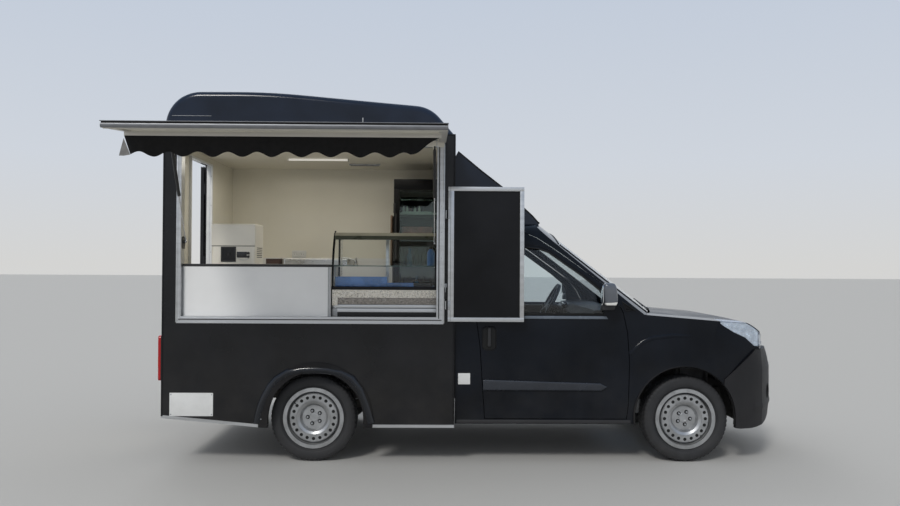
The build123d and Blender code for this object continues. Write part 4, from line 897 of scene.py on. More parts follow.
def valance_cloth():
    """A hanging band of awning cloth with a waved hem and soft folds, and its turned end."""
    top_y, top_z, hem_z = -1.9625, 2.229, 2.1155
    wave_length, wave_start, wave_height = 0.178, 0.0975, 0.0155
    columns, rows = 320, 16
    part = bmesh.new()
    grid = []
    for down in [row / rows for row in range(rows + 1)]:
        line = []
        rear, front = -0.992 + 0.044 * down, 0.925 - 0.185 * down
        for column in range(columns + 1):
            x = rear + (front - rear) * column / columns
            wave = math.cos(math.tau * (x + wave_start) / wave_length)
            hem = hem_z + 0.003 * x - wave_height * wave
            fold = 0.006 * math.sin(x * 21 + 1.3) + 0.003 * math.sin(x * 57)
            y = top_y - down * down * (0.006 + fold)
            line.append(part.verts.new((x, y, top_z + (hem - top_z) * down)))
        grid.append(line)
    for first, second in zip(grid, grid[1:]):
        for index in range(columns):
            part.faces.new((first[index], first[index + 1], second[index + 1], second[index]))
    area = sum(face.calc_area() for face in part.faces)
    bmesh.ops.recalc_face_normals(part, faces=part.faces)
    form = Form("awning_cloth", "cloth_lining")
    form.take(part)
    lining = bmesh.new()
    corner = ((-0.993, 0.0015, 2.21), (-1.018, 0.008, 2.102), (-0.988, 0.01, 2.101), (-0.95, 0.0075, 2.1085))
    lining.faces.new([lining.verts.new((x, top_y - out, z)) for x, out, z in corner])
    form.use("cloth_lining").take(lining)
    made = form.done("valance_cloth", "awning_cloth", "flap", ["valance"], 60)
    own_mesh(made)


flap_trim()
hinge_line()
strut_fittings()
valance_cloth()


# Hatch frame and menu board
def hatch_trim():
    """Rims, grooves, seals and screws on the face of the hatch frame."""
    form = Form("aluminium", "seal_black", "zinc")
    form.plates((-0.9535, WALL), 0.001, (-0.983, 1.02, 0.953, 1.03), (-0.989, 1.026, -0.979, 2.346),
                (0.949, 1.026, 0.959, 2.346))
    grooves = [(x, 1.03, x + width, 2.34) for x, width in (
        (0.905, 0.004), (0.926, 0.004), (0.947, 0.004), (-0.975, 0.003), (-0.962, 0.003))]
    form.plates((-0.952, WALL), 0.0008, *grooves, (-0.98, 1.058, 0.95, 1.062))
    form.use("seal_black")
    form.plates((-0.953, WALL), 0.002, (0.9145, 1.06, 0.9215, 2.32), (-0.97, 1.045, 0.94, 1.052))
    form.plates((-0.956, WALL), 0.002, (0.96, 1.026, 0.966, 2.346))
    form.use("zinc")
    for z in spaced(1.12, 0.19, 7):
        screw(form, (0.936, -0.95, z), OUTWARD, 0.0035, 0.002)
    form.done("hatch_trim", "aluminium")


def board_trim():
    """Menu board: a grooved aluminium frame on both faces, corner screws, hinge leaves and a latch."""
    form = Form("aluminium", "board_black", "zinc", "satin_black", "seal_black")
    x0, x1, z0, z1 = 0.984, 1.536, 1.042, 2.02
    for face, out in ((-0.985, -1), (-0.96, 1)):
        outer = face + out * 0.0018
        form.use("aluminium").plates(
            (face, outer), 0.0012, (x0, z0, x1, z0 + 0.03), (x0, z1 - 0.03, x1, z1),
            (x0, z0 + 0.03, x0 + 0.042, z1 - 0.03), (x1 - 0.03, z0 + 0.03, x1, z1 - 0.03))
        form.use("seal_black").plates(
            (face + out * 0.0016, face + out * 0.0021), 0.0002, (x0 + 0.0165, z0, x0 + 0.0185, z1))
        form.plates(
            (face - out * 0.004, face + out * 0.0004), 0.001,
            (x0 + 0.036, z0 + 0.029, x1 - 0.029, z0 + 0.036),
            (x0 + 0.036, z1 - 0.036, x1 - 0.029, z1 - 0.029), (x0 + 0.036, z0 + 0.03, x0 + 0.044, z1 - 0.03),
            (x1 - 0.037, z0 + 0.03, x1 - 0.029, z1 - 0.03))
        form.use("zinc")
        for x in (x0 + 0.009, x1 - 0.015):
            for z in (z0 + 0.015, z1 - 0.015, 1.36, 1.68):
                screw(form, (x, outer, z), (0, out, 0), 0.003, 0.0015)
    for z in (1.13, 1.79):
        form.use("zinc").bar((0.984, -0.9885, z - 0.004), (1.004, -0.9866, z + 0.064), 0.0008)
        for rise in (0.008, 0.03, 0.052):
            screw(form, (0.997, -0.9885, z + rise), OUTWARD, 0.003, 0.0015)
    form.done("board_frame", "aluminium", "side_panel")
    form = Form("satin_black", "zinc")
    form.bar((0.957, -0.956, 1.205), (0.975, -0.95, 1.29))
    form.bar((0.962, -0.968, 1.225), (0.973, -0.956, 1.262), 0.003)
    hook = ((0.966, -0.966, 1.255), (0.966, -0.976, 1.268), (0.966, -0.976, 1.3), (0.966, -0.966, 1.306))
    form.use("zinc").tube(hook, 0.0028)
    form.bar((0.958, -0.957, 1.288), (0.978, -0.95, 1.316))
    form.done("board_catch", "strut_black")


hatch_trim()
board_trim()


# Kitchen
def doorway_frame():
    """White aluminium jambs, head and threshold."""
    form = Form("white_frame", "aluminium", "zinc")
    rear, lip, front, floor = -1.0893, -1.046, -1.026, 0.562
    right, left, head = -0.454, 0.14, 2.29
    for y, way, start in ((left, 1, -1.076), (right, -1, rear)):
        form.use("white_frame").bar((lip, y - way * 0.005, floor), (front, y + way * 0.012, head + 0.006))
        form.bar((start, y - way * 0.0012, floor), (lip, y - way * 0.0002, head), 0.0004)
        form.bar((-1.054, y - way * 0.005, floor), (-1.0455, y - way * 0.0005, head), 0.0015)
        form.use("aluminium").bar((-1.05, y - way * 0.0056, floor), (-1.044, y + way * 0.0001, head), 0.001)
    form.use("white_frame").bar((lip, right - 0.012, head - 0.006), (front, left + 0.012, head + 0.012))
    form.bar((-1.054, right, head - 0.005), (-1.0455, left, head - 0.0005), 0.0015)
    form.use("aluminium").bar((rear, right + 0.005, 0.5595), (-1.054, left - 0.005, 0.5625), 0.001)
    form.bar((-1.054, right + 0.005, 0.5595), (front, left - 0.005, 0.566), 0.0015)
    form.use("zinc")
    for z in (0.75, 1.15, 1.55, 1.95, 2.2):
        screw(form, (-1.036, left - 0.005, z), OUTWARD, 0.004, 0.002)
        screw(form, (-1.036, right + 0.005, z), (0, 1, 0), 0.004, 0.002)
    form.done("doorway_frame", "aluminium")


def ceiling_lamps():
    """A light strip with end caps and a dark lamp behind it."""
    form = Form("lamp_glow", "white_plastic")
    turns = [math.radians(angle) for angle in range(180, 361, 15)]
    lens = [(0.13 + 0.016 * math.cos(turn), 2.348 + 0.01 * math.sin(turn)) for turn in turns]
    form.prism(lens + [(0.146, 2.3535), (0.114, 2.3535)], "X", -0.374, 0.132)
    form.use("white_plastic")
    for x in (-0.382, 0.131):
        form.bar((x, 0.111, 2.334), (x + 0.009, 0.149, 2.3538), 0.003)
    form.done("ceiling_light_strip", "appliance")
    form = Form("zinc", "seal_black")
    form.bar((0.11, 0.442, 2.339), (0.388, 0.482, 2.3538), 0.003)
    form.use("seal_black").bar((0.122, 0.448, 2.3365), (0.376, 0.476, 2.34), 0.001)
    form.done("ceiling_light_rear", "appliance")


def counter_trim():
    """Rounded black edge of the worktop and the joints of the front panel."""
    form = Form("worktop_black", "grey_edge", "seal_black")
    form.bar((-0.954, -0.9075, 1.4315), (0.125, -0.903, 1.4508), 0.0035, 3)
    form.use("grey_edge")
    form.plates((-0.9062, -0.9045), 0.0008, (0.1085, 0.79, 0.125, 1.43), (-0.954, 0.79, -0.944, 1.43))
    form.use("seal_black").bar((0.1065, -0.9058, 0.79), (0.1085, -0.9045, 1.43), 0.0003)
    form.done("counter_edge", "worktop")


def sink_unit():
    """A pressed steel sink with a raised rim and drain."""
    form = Form("steel_brushed", "seal_black")
    x, y = -0.18, 0.63
    rows = [
        [(*point, z) for point in rounded((x - half_x, y - half_y), (x + half_x, y + half_y), radius)]
        for half_x, half_y, radius, z in (
            (0.299, 0.208, 0.03, 1.4503), (0.299, 0.208, 0.03, 1.496), (0.296, 0.205, 0.03, 1.5),
            (0.27, 0.18, 0.03, 1.5), (0.266, 0.176, 0.03, 1.496), (0.264, 0.174, 0.03, 1.46),
            (0.202, 0.162, 0.05, 1.456), (0.1975, 0.1575, 0.05, 1.448), (0.196, 0.156, 0.05, 1.33),
            (0.185, 0.145, 0.045, 1.306), (0.03, 0.03, 0.029, 1.302))
    ]
    form.rings(rows + [[(x, y, 1.302)]], capped=False)
    drain = ((0.024, 0), (0.024, 0.002), (0.018, 0.003), (0, 0.003))
    form.use("seal_black").turned(drain, (x, y, 1.302), UP, 24)
    form.done("sink_insert", "worktop")
    form = Form("steel_brushed")
    x, y = 0.155, 0.64
    form.turned(((0.022, 0), (0.022, 0.006), (0.014, 0.012), (0.012, 0.04), (0, 0.044)), (x, y, 1.45), UP, 20)
    spout = ((x, y, 1.482), (0.12, y, 1.5), (0.07, y, 1.512), (0.03, y, 1.512), (0.018, y, 1.506))
    form.tube(spout, 0.007, 12)
    form.tube(((x, y, 1.494), (0.163, 0.61, 1.512), (0.165, 0.585, 1.515)), 0.005)
    form.done("sink_mixer", "worktop")


def wall_sockets():
    form = Form("white_plastic", "seal_black")
    form.prism(rounded((-0.478, 1.5115), (-0.344, 1.58), 0.006), "Y", 0.912, 0.9203, 0.0015)
    cup = ((0.0265, 0), (0.0265, 0.003), (0.024, 0.0042), (0.0215, 0.001), (0, 0.001))
    for x in (-0.4445, -0.3775):
        form.use("white_plastic").turned(cup, (x, 0.912, 1.5457), OUTWARD)
        form.use("seal_black")
        for hole in (x - 0.0095, x + 0.0095):
            form.turned(((0.0025, 0), (0.0025, 0.0012), (0, 0.0012)), (hole, 0.9112, 1.5457), OUTWARD, 12)
    form.done("wall_sockets", "appliance")


def machine_trim():
    """Drinks machine: overhanging upper cover, seam, fan, display, knobs and cable."""
    form = Form("cream_plastic", "seal_black", "satin_black", "display_dark", "white_plastic")
    face = -0.76
    form.prism(rounded((-0.785, 1.5875), (-0.46, 1.746), 0.012), "Y", face - 0.005, face + 0.001, 0.0035)
    form.use("seal_black").bar((-0.7848, face - 0.0008, 1.583), (-0.4602, face + 0.0005, 1.5875), 0.0003)
    form.use("cream_plastic").bar((-0.7345, face - 0.0012, 1.462), (-0.7144, face + 0.012, 1.562), 0.0006)
    left, right, low, high = -0.7144, -0.6027, 1.468, 1.579
    form.use("satin_black").bar((left, face - 0.0015, low), (right, face + 0.0008, high), 0.0015)
    form.plates((face - 0.008, face), 0.003, (left, low, right, low + 0.01), (left, high - 0.01, right, high),
                (left, low, left + 0.01, high), (right - 0.01, low, right, high))
    middle = ((left + right) / 2, (low + high) / 2)
    grid = face - 0.0065
    for radius in (0.016, 0.027, 0.038, 0.048):
        ring = arc(middle, radius, [360 * step / 32 for step in range(32)])
        form.tube([(x, grid, z) for x, z in ring], 0.0014, 6, True)
    for x, z in arc(middle, 0.05, (45, 135, 225, 315)):
        form.tube(((middle[0], grid, middle[1]), (x, grid, z)), 0.0016, 6)
    hub = (middle[0], face - 0.001, middle[1])
    form.turned(((0.013, 0), (0.013, 0.006), (0.011, 0.008), (0, 0.008)), hub, OUTWARD, 24)
    form.bar((-0.5967, face - 0.003, 1.498), (-0.5211, face + 0.001, 1.542), 0.0015)
    form.use("display_dark").bar((-0.592, face - 0.0038, 1.507), (-0.534, face - 0.0025, 1.536), 0.0006)
    form.use("satin_black")
    for z in (1.506, 1.532):
        form.turned(((0.01, 0), (0.01, 0.01), (0.0085, 0.012), (0, 0.012)), (-0.5095, face, z), OUTWARD, 20)
    cable = ((-0.596, 0.004, 1.5), (-0.58, 0.006, 1.488), (-0.55, 0.006, 1.481), (-0.52, 0.006, 1.484),
             (-0.508, 0.005, 1.494))
    form.use("white_plastic").tube([(x, face - out, z) for x, out, z in cable], 0.0025, 8)
    form.use("cream_plastic")
    for x in (-0.77, -0.475):
        for y in (-0.745, -0.475):
            form.turned(((0.014, 0), (0.014, 0.004), (0, 0.004)), (x, y, 1.45), UP, 16)
    # Black bars on the machine's right side: painted shade in its vent slots.
    form.use("seal_black")
    for z in spaced(1.5, 0.014, 6):
        form.bar((-0.4604, -0.7, z), (-0.459, -0.52, z + 0.005), 0.0005)
    form.done("machine_panel", "appliance")


CASE_CURVE = (-0.341, 1.327, 0.522)
CASE_REAR, CASE_FRONT = 0.1345, 0.8925
GLASS_REAR, GLASS_FRONT = 0.1415, 0.8855


def curve_y(z, inset=0):
    """The case's curved glass front, as Y at a height."""
    y, middle, radius = CASE_CURVE
    return y - math.sqrt((radius - inset) ** 2 - (z - middle) ** 2)


def curved_strip(form, x, insets, heights, steps=12):
    zs = [heights[0] + (heights[1] - heights[0]) * step / steps for step in range(steps + 1)]
    outer = [(curve_y(z, insets[0]), z) for z in zs]
    inner = [(curve_y(z, insets[1]), z) for z in reversed(zs)]
    form.prism(outer + inner, "X", *x)


def display_trim():
    """Stone, aluminium and black bands of the display case, its cheeks, rails and shelf edges."""
    form = Form("granite", "granite_dark", "aluminium", "board_black", "case_olive", "case_beige",
                "glass_edge", "steel_brushed", "grey_edge")
    form.bar((0.1272, -0.8835, 1.2066), (0.8998, -0.83, 1.2662), 0.003, 3)
    form.bar((0.1272, -0.883, 1.15), (0.175, -0.85, 1.207))
    form.use("granite_dark").bar((0.175, -0.875, 1.158), (0.8998, -0.85, 1.2068), 0.001)
    form.use("aluminium").bar((0.129, -0.862, 1.133), (0.8995, -0.85, 1.157), 0.003)
    form.bar((0.129, -0.87, 1.101), (0.8995, -0.85, 1.129), 0.004, 3)
    form.use("grey_edge").bar((0.13, -0.872, 1.063), (0.172, -0.86, 1.128), 0.003)
    form.use("board_black").bar((0.1262, -0.887, 0.79), (CASE_REAR, -0.86, 1.29))
    form.bar((CASE_REAR, -0.876, 1.27), (0.8998, -0.856, 1.29), 0.0035, 3)
    for x in ((0.1262, CASE_REAR), (CASE_FRONT, 0.8998)):
        curved_strip(form, x, (-0.003, 0.02), (1.283, 1.692), 24)
    knob = ((0.004, 0), (0.004, 0.004), (0.0068, 0.007), (0.0068, 0.012), (0.004, 0.015), (0, 0.0155))
    for x in (0.134, 0.892):
        form.turned(knob, (x, -0.705, 1.69), UP, 16)
    across = (CASE_REAR, CASE_FRONT)
    curved_strip(form.use("case_olive"), across, (-0.0015, 0.004), (1.6395, 1.668))
    curved_strip(form.use("case_beige"), across, (-0.003, 0.004), (1.668, 1.691))
    form.bar((CASE_REAR, -0.715, 1.6895), (CASE_FRONT, -0.637, 1.6915), 0.0008)
    shelf = curve_y(1.438, 0.0085)
    form.use("glass_edge").bar((GLASS_REAR, shelf, 1.4375), (GLASS_FRONT, shelf + 0.004, 1.4445), 0.001)
    form.bar((GLASS_REAR, -0.63, 1.66), (GLASS_FRONT, -0.6265, 1.664), 0.001)
    form.use("steel_brushed").bar((0.142, -0.845, 1.2832), (0.885, -0.45, 1.286), 0.0008)
    for x in (GLASS_REAR, 0.8815):
        form.bar((x, -0.82, 1.43), (x + 0.004, -0.455, 1.4375), 0.001)
    form.use("granite").bar((0.15, -0.452, 1.286), (0.158, -0.449, 1.66), 0.001)
    form.use("aluminium").bar((0.5, -0.448, 1.286), (0.525, -0.432, 1.664))
    form.done("display_case_bands", "case_trim")


def display_goods():
    """What stands in the case: a blue tray with cups, a black one and a spray bottle on the rail."""
    form = Form("blue_film", "white_plastic")
    for x0, y0, x1, y1, top in ((0.15, -0.835, 0.535, -0.52, 1.29), (0.15, -0.838, 0.535, -0.834, 1.362),
                                (0.535, -0.835, 0.88, -0.52, 1.289), (0.535, -0.838, 0.73, -0.835, 1.318)):
        form.bar((x0, y0, 1.2862), (x1, y1, top), 0.001)
    form.use("white_plastic")
    for x, top in ((0.2, 0.052), (0.27, 0.058), (0.34, 0.052), (0.41, 0.058), (0.48, 0.052)):
        cup = ((0.03, 0), (0.033, 0.03), (0.031, top), (0.012, 0.07), (0, 0.07))
        form.turned(cup, (x, -0.7, 1.29), UP, 20)
    form.done("display_trays", "case_trim")
    form = Form("satin_black")
    form.prism(rounded((0.69, -0.8), (0.87, -0.62), 0.02), "Z", 1.289, 1.312, 0.004)
    form.tube(((0.7, -0.81, 1.3), (0.715, -0.815, 1.33), (0.76, -0.815, 1.34), (0.795, -0.81, 1.318)), 0.005)
    form.done("display_black_tray", "case_trim")
    form = Form("blue_plastic", "satin_black")
    base = (0.856, -0.6, 1.445)
    flask = ((0, 0), (0.026, 0), (0.029, 0.004), (0.029, 0.09), (0.027, 0.105), (0.015, 0.125),
             (0.013, 0.132), (0, 0.132))
    form.turned(flask, base, UP, 28)
    form.use("satin_black").turned(((0.015, 0.128), (0.015, 0.146), (0.01, 0.15), (0, 0.15)), base, UP, 24)
    nozzle = ((0.83, 1.594), (0.88, 1.594), (0.88, 1.612), (0.868, 1.625), (0.835, 1.625), (0.818, 1.615))
    form.prism(nozzle, "Y", -0.608, -0.592, 0.003)
    lever = ((0.832, 1.594), (0.838, 1.594), (0.83, 1.56), (0.824, 1.545), (0.82, 1.547))
    form.prism(lever, "Y", -0.605, -0.595, 0.001)
    form.done("spray_bottle", "case_trim")


def fridge_front():
    """Fridge door: a black frame round a glass pane, with a seal and a bar handle."""
    x0, x1, z0, z1 = 0.519, 0.985, 0.62, 2.205
    form = Form("dark_metal", "seal_black", "satin_black", "case_glass")
    form.plates((0.3, 0.34), 0.003, (x0, z0, x1, z0 + 0.075), (x0, z1 - 0.09, x1, z1),
                (x0, z0 + 0.074, x0 + 0.046, z1 - 0.089), (x1 - 0.046, z0 + 0.074, x1, z1 - 0.089))
    left, right, low, high = x0 + 0.044, x1 - 0.044, z0 + 0.073, z1 - 0.088
    form.use("seal_black").plates(
        (0.306, 0.334), 0.002, (left, low, right, low + 0.007), (left, high - 0.008, right, high),
        (left, low, left + 0.007, high), (right - 0.007, low, right, high))
    form.use("case_glass")
    for y in (0.314, 0.324):
        form.bar((x0 + 0.046, y, z0 + 0.075), (x1 - 0.046, y + 0.002, z1 - 0.09), 0.0004, 1)
    form.use("satin_black").bar((x0 + 0.012, 0.262, 1.5), (x0 + 0.028, 0.278, 1.9), 0.005, 3)
    form.plates((0.274, 0.301), 0.004, *((x0 + 0.012, z, x0 + 0.028, z + 0.025) for z in (1.505, 1.87)))
    form.bar((x0 - 0.004, 0.296, 1.905), (x0 + 0.014, 0.305, 1.99), 0.003)
    form.done("fridge_door_glazed", "fridge_black", "fridge_door", ["fridge_door"])


def fridge_stock():
    """Shelves, rails, bottles, a carton and small jars in the fridge."""
    form = Form("white_plastic", "steel_brushed", "bottle_dark", "carton_pink", "cream_plastic",
                "blue_plastic")
    for z in (0.938, 1.188, 1.438, 1.688, 1.908):
        form.bar((0.55, 0.37, z - 0.012), (0.954, 0.379, z + 0.006))
    form.use("steel_brushed")
    for start, y, radius in ((0.55, 0.4, 0.003), (0.55, 0.48, 0.003), (0.552, 0.382, 0.004)):
        form.tube(((start, y, 2.03), (0.954, y, 2.03)), radius, 8)
    bottle = ((0, 0), (0.024, 0), (0.026, 0.004), (0.026, 0.09), (0.012, 0.125), (0.01, 0.15), (0.012, 0.151),
              (0.012, 0.162), (0, 0.162))
    for level, shelf in enumerate((0.938, 1.188, 1.438)):
        for index, x in enumerate(spaced(0.59, 0.065, 6)):
            form.use("bottle_dark" if (index + level) % 3 else "blue_plastic")
            form.turned(bottle, (x, 0.45, shelf), UP, 20)
    form.use("carton_pink").bar((0.585, 0.385, 1.72), (0.86, 0.56, 1.79), 0.003)
    form.bar((0.575, 0.385, 1.6885), (0.88, 0.6, 1.718), 0.003)
    form.use("white_plastic").bar((0.585, 0.385, 1.9085), (0.85, 0.6, 1.926), 0.004)
    jar = ((0, 0), (0.011, 0), (0.011, 0.032), (0.005, 0.04), (0.005, 0.052), (0, 0.052))
    for index, x in enumerate((0.6, 0.63, 0.665, 0.7, 0.74, 0.79)):
        form.use(("white_plastic", "cream_plastic", "bottle_dark")[index % 3])
        form.turned(jar, (x, 0.44, 1.926), UP, 16)
    form.done("fridge_stock", "appliance")


def loose_things():
    form = Form("wood_edge")
    form.prism(rounded((0.42, 1.4515), (0.69, 1.895), 0.035), "X", 0.484, 0.5, 0.003)
    form.done("serving_board", "worktop")
    form = Form("crate_brown", "white_plastic")
    form.bar((-0.63, 0.45, 1.451), (-0.5, 0.56, 1.499), 0.004)
    form.use("white_plastic").bar((-0.626, 0.455, 1.4985), (-0.504, 0.555, 1.502))
    form.done("counter_box", "worktop")


doorway_frame()
ceiling_lamps()
counter_trim()
sink_unit()
wall_sockets()
machine_trim()
display_trim()
display_goods()
fridge_front()
fridge_stock()
loose_things()


# Cab
BELT_Y, BELT_Z = 0.903, 1.165
UPPER_LEAN = 0.094 / 0.447
LOWER_LEAN = 0.009 / 0.365
BELLY_Y, BELLY_Z = 0.916, 0.76
SCREEN_TOP = (1.795, 1.737)
SCREEN_SLOPE = 0.7646
SCREEN_RADIUS = 3.4
SCREEN_LEAN = 0.7944
WING_START = 2.7
NOSE_X = 3.612
NOSE_RADIUS = 1.332
LAMP_MIDDLE = (3.08, 0.64, 0.93)
SHELL_SCALE = 0.955
LIP_CENTRE = (2.735, 0.338)
LINER_CENTRE = (2.745, 0.338)


def side_y(z):
    """Half width of the cab's side at a height."""
    upper = BELT_Y - (z - BELT_Z) * (UPPER_LEAN if z > BELT_Z else LOWER_LEAN)
    lower = BELLY_Y - 0.026 * ((z - BELLY_Z) / 0.62) ** 2 if z < 1.13 else 0
    return max(upper, lower)


def screen_z(x, y):
    """Height of the windscreen's face."""
    bow = SCREEN_RADIUS - math.sqrt(SCREEN_RADIUS ** 2 - y * y)
    return SCREEN_TOP[1] - SCREEN_SLOPE * (x - SCREEN_TOP[0]) - bow / SCREEN_LEAN


def wing_y(x, z=0.85):
    """Half width of the wing ahead of the door."""
    ahead = x - WING_START
    if ahead < 0:
        return side_y(z)
    return side_y(z) - 0.022 * (ahead / 0.36) - 0.088 * max(0, (ahead - 0.1) / 0.52) ** 2


def bumper_spot(y, out=0):
    """X of the bumper's outer face at a distance from the middle line."""
    return NOSE_X - NOSE_RADIUS + math.sqrt((NOSE_RADIUS + out) ** 2 - y * y)


def window_trim():
    """Seals, belt strip coloured with a painted reflection, and guide bar of the door windows, and the panel
    ahead of them.
    """
    outline = ((1.266, 1.102), (1.266, 1.535), (1.292, 1.587), (1.582, 1.585), (1.665, 1.575), (1.735, 1.55),
               (1.837, 1.477), (1.979, 1.378), (2.105, 1.275), (2.129, 1.229), (2.131, 1.096))
    belt = ((1.262, 1.06), (1.262, 1.082), (2.15, 1.082), (2.165, 1.06))
    corner = ((2.295, 1.124), (2.267, 1.19), (2.365, 1.124))
    for side, name, body in DOOR_SIDES:
        form = Form("seal_black", "board_black", "belt_strip_painted_reflection", "satin_black")
        form.tube([(x, side * (side_y(z) - 0.002), z) for x, z in outline], 0.0065, 8, True)
        top = [(x - 0.004, side * (side_y(z + 0.022) - 0.0005), z + 0.022) for x, z in outline[2:10]]
        form.use("board_black").tube(top, 0.0055, 8)
        form.use("seal_black").bar((1.262, side * 0.899, 1.088), (2.14, side * 0.91, 1.101), 0.003)
        # Black belt trim coloured pale blue-grey as a painted reflection.
        form.use("belt_strip_painted_reflection").prism(belt, "Y", side * 0.899, side * 0.915, 0.005, 3)
        form.use("satin_black").bar((1.53, side * 0.86, 1.1), (1.542, side * 0.87, 1.58))
        form.done("window_seals_" + name, "trim_black", body)
        form = Form("board_black", "seal_black")
        form.prism(corner, "Y", side * 0.888, side * 0.896, 0.001)
        rim = [(x, side * (side_y(z) - 0.001), z) for x, z in corner]
        form.use("seal_black").tube(rim, 0.005, 8, True)
        form.done("quarter_panel_" + name, "trim_black")


def door_fittings():
    """Handle in its recess, rub strip and sill line of each cab door."""
    recess = rounded((1.24, 0.83), (1.34, 1), 0.03, 6)
    strip = ((1.244, 0.538), (1.244, 0.616), (2.106, 0.592), (2.162, 0.564), (2.11, 0.536))
    for side, name, body in DOOR_SIDES:
        form = Form("seal_black", "handle_black", "board_black")
        form.prism(recess, "Y", side * 0.908, side * 0.9165, 0.003)
        form.use("board_black").tube([(x, side * 0.916, z) for x, z in recess], 0.004, 8, True)
        handle = rounded((1.278, 0.855), (1.302, 0.995), 0.01)
        form.use("handle_black").prism(handle, "Y", side * 0.915, side * 0.93, 0.005, 3)
        form.done("door_handle_" + name, "trim_black", body)
        form = Form("rub_black")
        form.prism(strip, "Y", side * 0.902, side * 0.929, 0.011, 4)
        form.done("rub_strip_" + name, "trim_black", body)
        form = Form("handle_black")
        form.bar((1.05, side * 0.888, 0.292), (2.335, side * 0.906, 0.322), 0.006)
        form.done("sill_strip_" + name, "trim_black")


def power(value, exponent):
    """A power that keeps the sign."""
    return math.copysign(abs(value) ** exponent, value)


def mirrors():
    """Rounded mirror housing with a pale indicator, its glass and its foot."""
    steps, sides = 18, 32
    indicator = ((2.125, 1.168), (2.195, 1.168), (2.206, 1.19), (2.115, 1.184))
    foot = ((2.104, 1.128), (2.196, 1.132), (2.206, 1.175), (2.19, 1.19), (2.13, 1.19), (2.108, 1.17))
    for side, name, body in DOOR_SIDES:
        form = Form("mirror_paint", "white_plastic", "mirror_face", "handle_black")
        rows = []
        for row in range(steps + 1):
            lean = math.pi * (row / steps - 0.5)
            rise = power(math.sin(lean), 0.5)
            flat = abs(math.cos(lean)) ** 0.5
            turns = [math.tau * spot / sides for spot in range(1 if row in (0, steps) else sides)]
            rows.append([
                (2.158 + 0.052 * power(math.cos(turn), 0.62) * flat - 0.008 * rise,
                 side + 0.05 * power(math.sin(turn), 0.62) * flat, 1.246 + 0.083 * rise) for turn in turns])
        form.rings(rows, capped=False)
        near, far = sorted((side * 0.962, side * 1.04))
        form.use("mirror_face").prism(rounded((near, 1.18), (far, 1.312), 0.02), "X", 2.1005, 2.106, 0.002)
        form.use("white_plastic").prism(indicator, "Y", side * 0.985, side * 1.048, 0.004)
        form.use("handle_black").prism(foot, "Y", side * 0.905, side * 0.99, 0.01, 3)
        form.done("mirror_housing_" + name, "trim_black", body, ["mirror_" + name])


def arch_trim():
    """Rolled lip of the front arches, the crease above them and the liners inside."""
    crease = ((2.33, 0.8), (2.364, 0.842), (2.42, 0.89), (2.491, 0.922), (2.632, 0.94), (2.772, 0.937),
              (2.88, 0.922), (2.983, 0.893), (3.06, 0.848), (3.11, 0.797))
    lip = arc(LIP_CENTRE, 0.38, spaced(-8, 4.9, 41))
    liner = arc(LINER_CENTRE, 0.425, range(-6, 175, 6)) + arc(LINER_CENTRE, 0.421, range(174, -7, -6))
    for side, name in SIDES:
        form = Form("board_black", "body_paint")
        form.tube([(x, side * (wing_y(x, z) - 0.006), z) for x, z in lip], 0.0075, 8)
        form.use("body_paint").tube([(x, side * (wing_y(x, z) - 0.0235), z) for x, z in crease], 0.028, 28)
        form.done("arch_lip_" + name, "trim_black")
        form = Form("chassis_black")
        form.prism(liner, "Y", side * 0.46, side * 0.868)
        form.done("arch_liner_" + name, "trim_black")


def flare_trim():
    """Glossy box flares: a bead along the outer edge, end caps and screws."""
    path = ((-0.418, 0.3), (-0.404, 0.38), (-0.388, 0.44), (-0.364, 0.499), (-0.325, 0.572), (-0.279, 0.626),
            (-0.2, 0.676), (-0.105, 0.695), (-0.011, 0.699), (0.083, 0.695), (0.19, 0.676), (0.265, 0.632),
            (0.322, 0.558), (0.364, 0.455), (0.39, 0.37), (0.404, 0.3))
    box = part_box("arch_flares")
    face = 0.9665
    for side, name in SIDES:
        form = Form("board_black", "zinc", "flare_gloss")
        bead = [(x + 0.026, side * 0.944, max(0.3, z - 0.012)) for x, z in path]
        form.use("flare_gloss").tube(bead, 0.0305, 28)
        for x in (box[0][0] + 0.022, box[1][0] - 0.022):
            form.use("board_black").bar((x - 0.02, side * 0.94, 0.292), (x + 0.02, side * face, 0.306), 0.004)
            screw(form.use("zinc"), (x, side * face, 0.33), (0, side, 0), 0.004, 0.002)
        form.done("flare_ends_" + name, "trim_black")


def lamp_reflectors():
    """Faceted silver shell just inside each headlamp's clear cover."""
    part = bmesh.new()
    part.from_mesh(nodes["headlamps"].data)
    for vert in part.verts:
        centre = Vector((LAMP_MIDDLE[0], math.copysign(LAMP_MIDDLE[1], vert.co.y), LAMP_MIDDLE[2]))
        vert.co = centre + (vert.co - centre) * SHELL_SCALE
    Form("reflector").take(part).done("lamp_reflectors", "lamp_clear")


def ramp_up(value, start, length):
    return min(1, max(0, (value - start) / length))


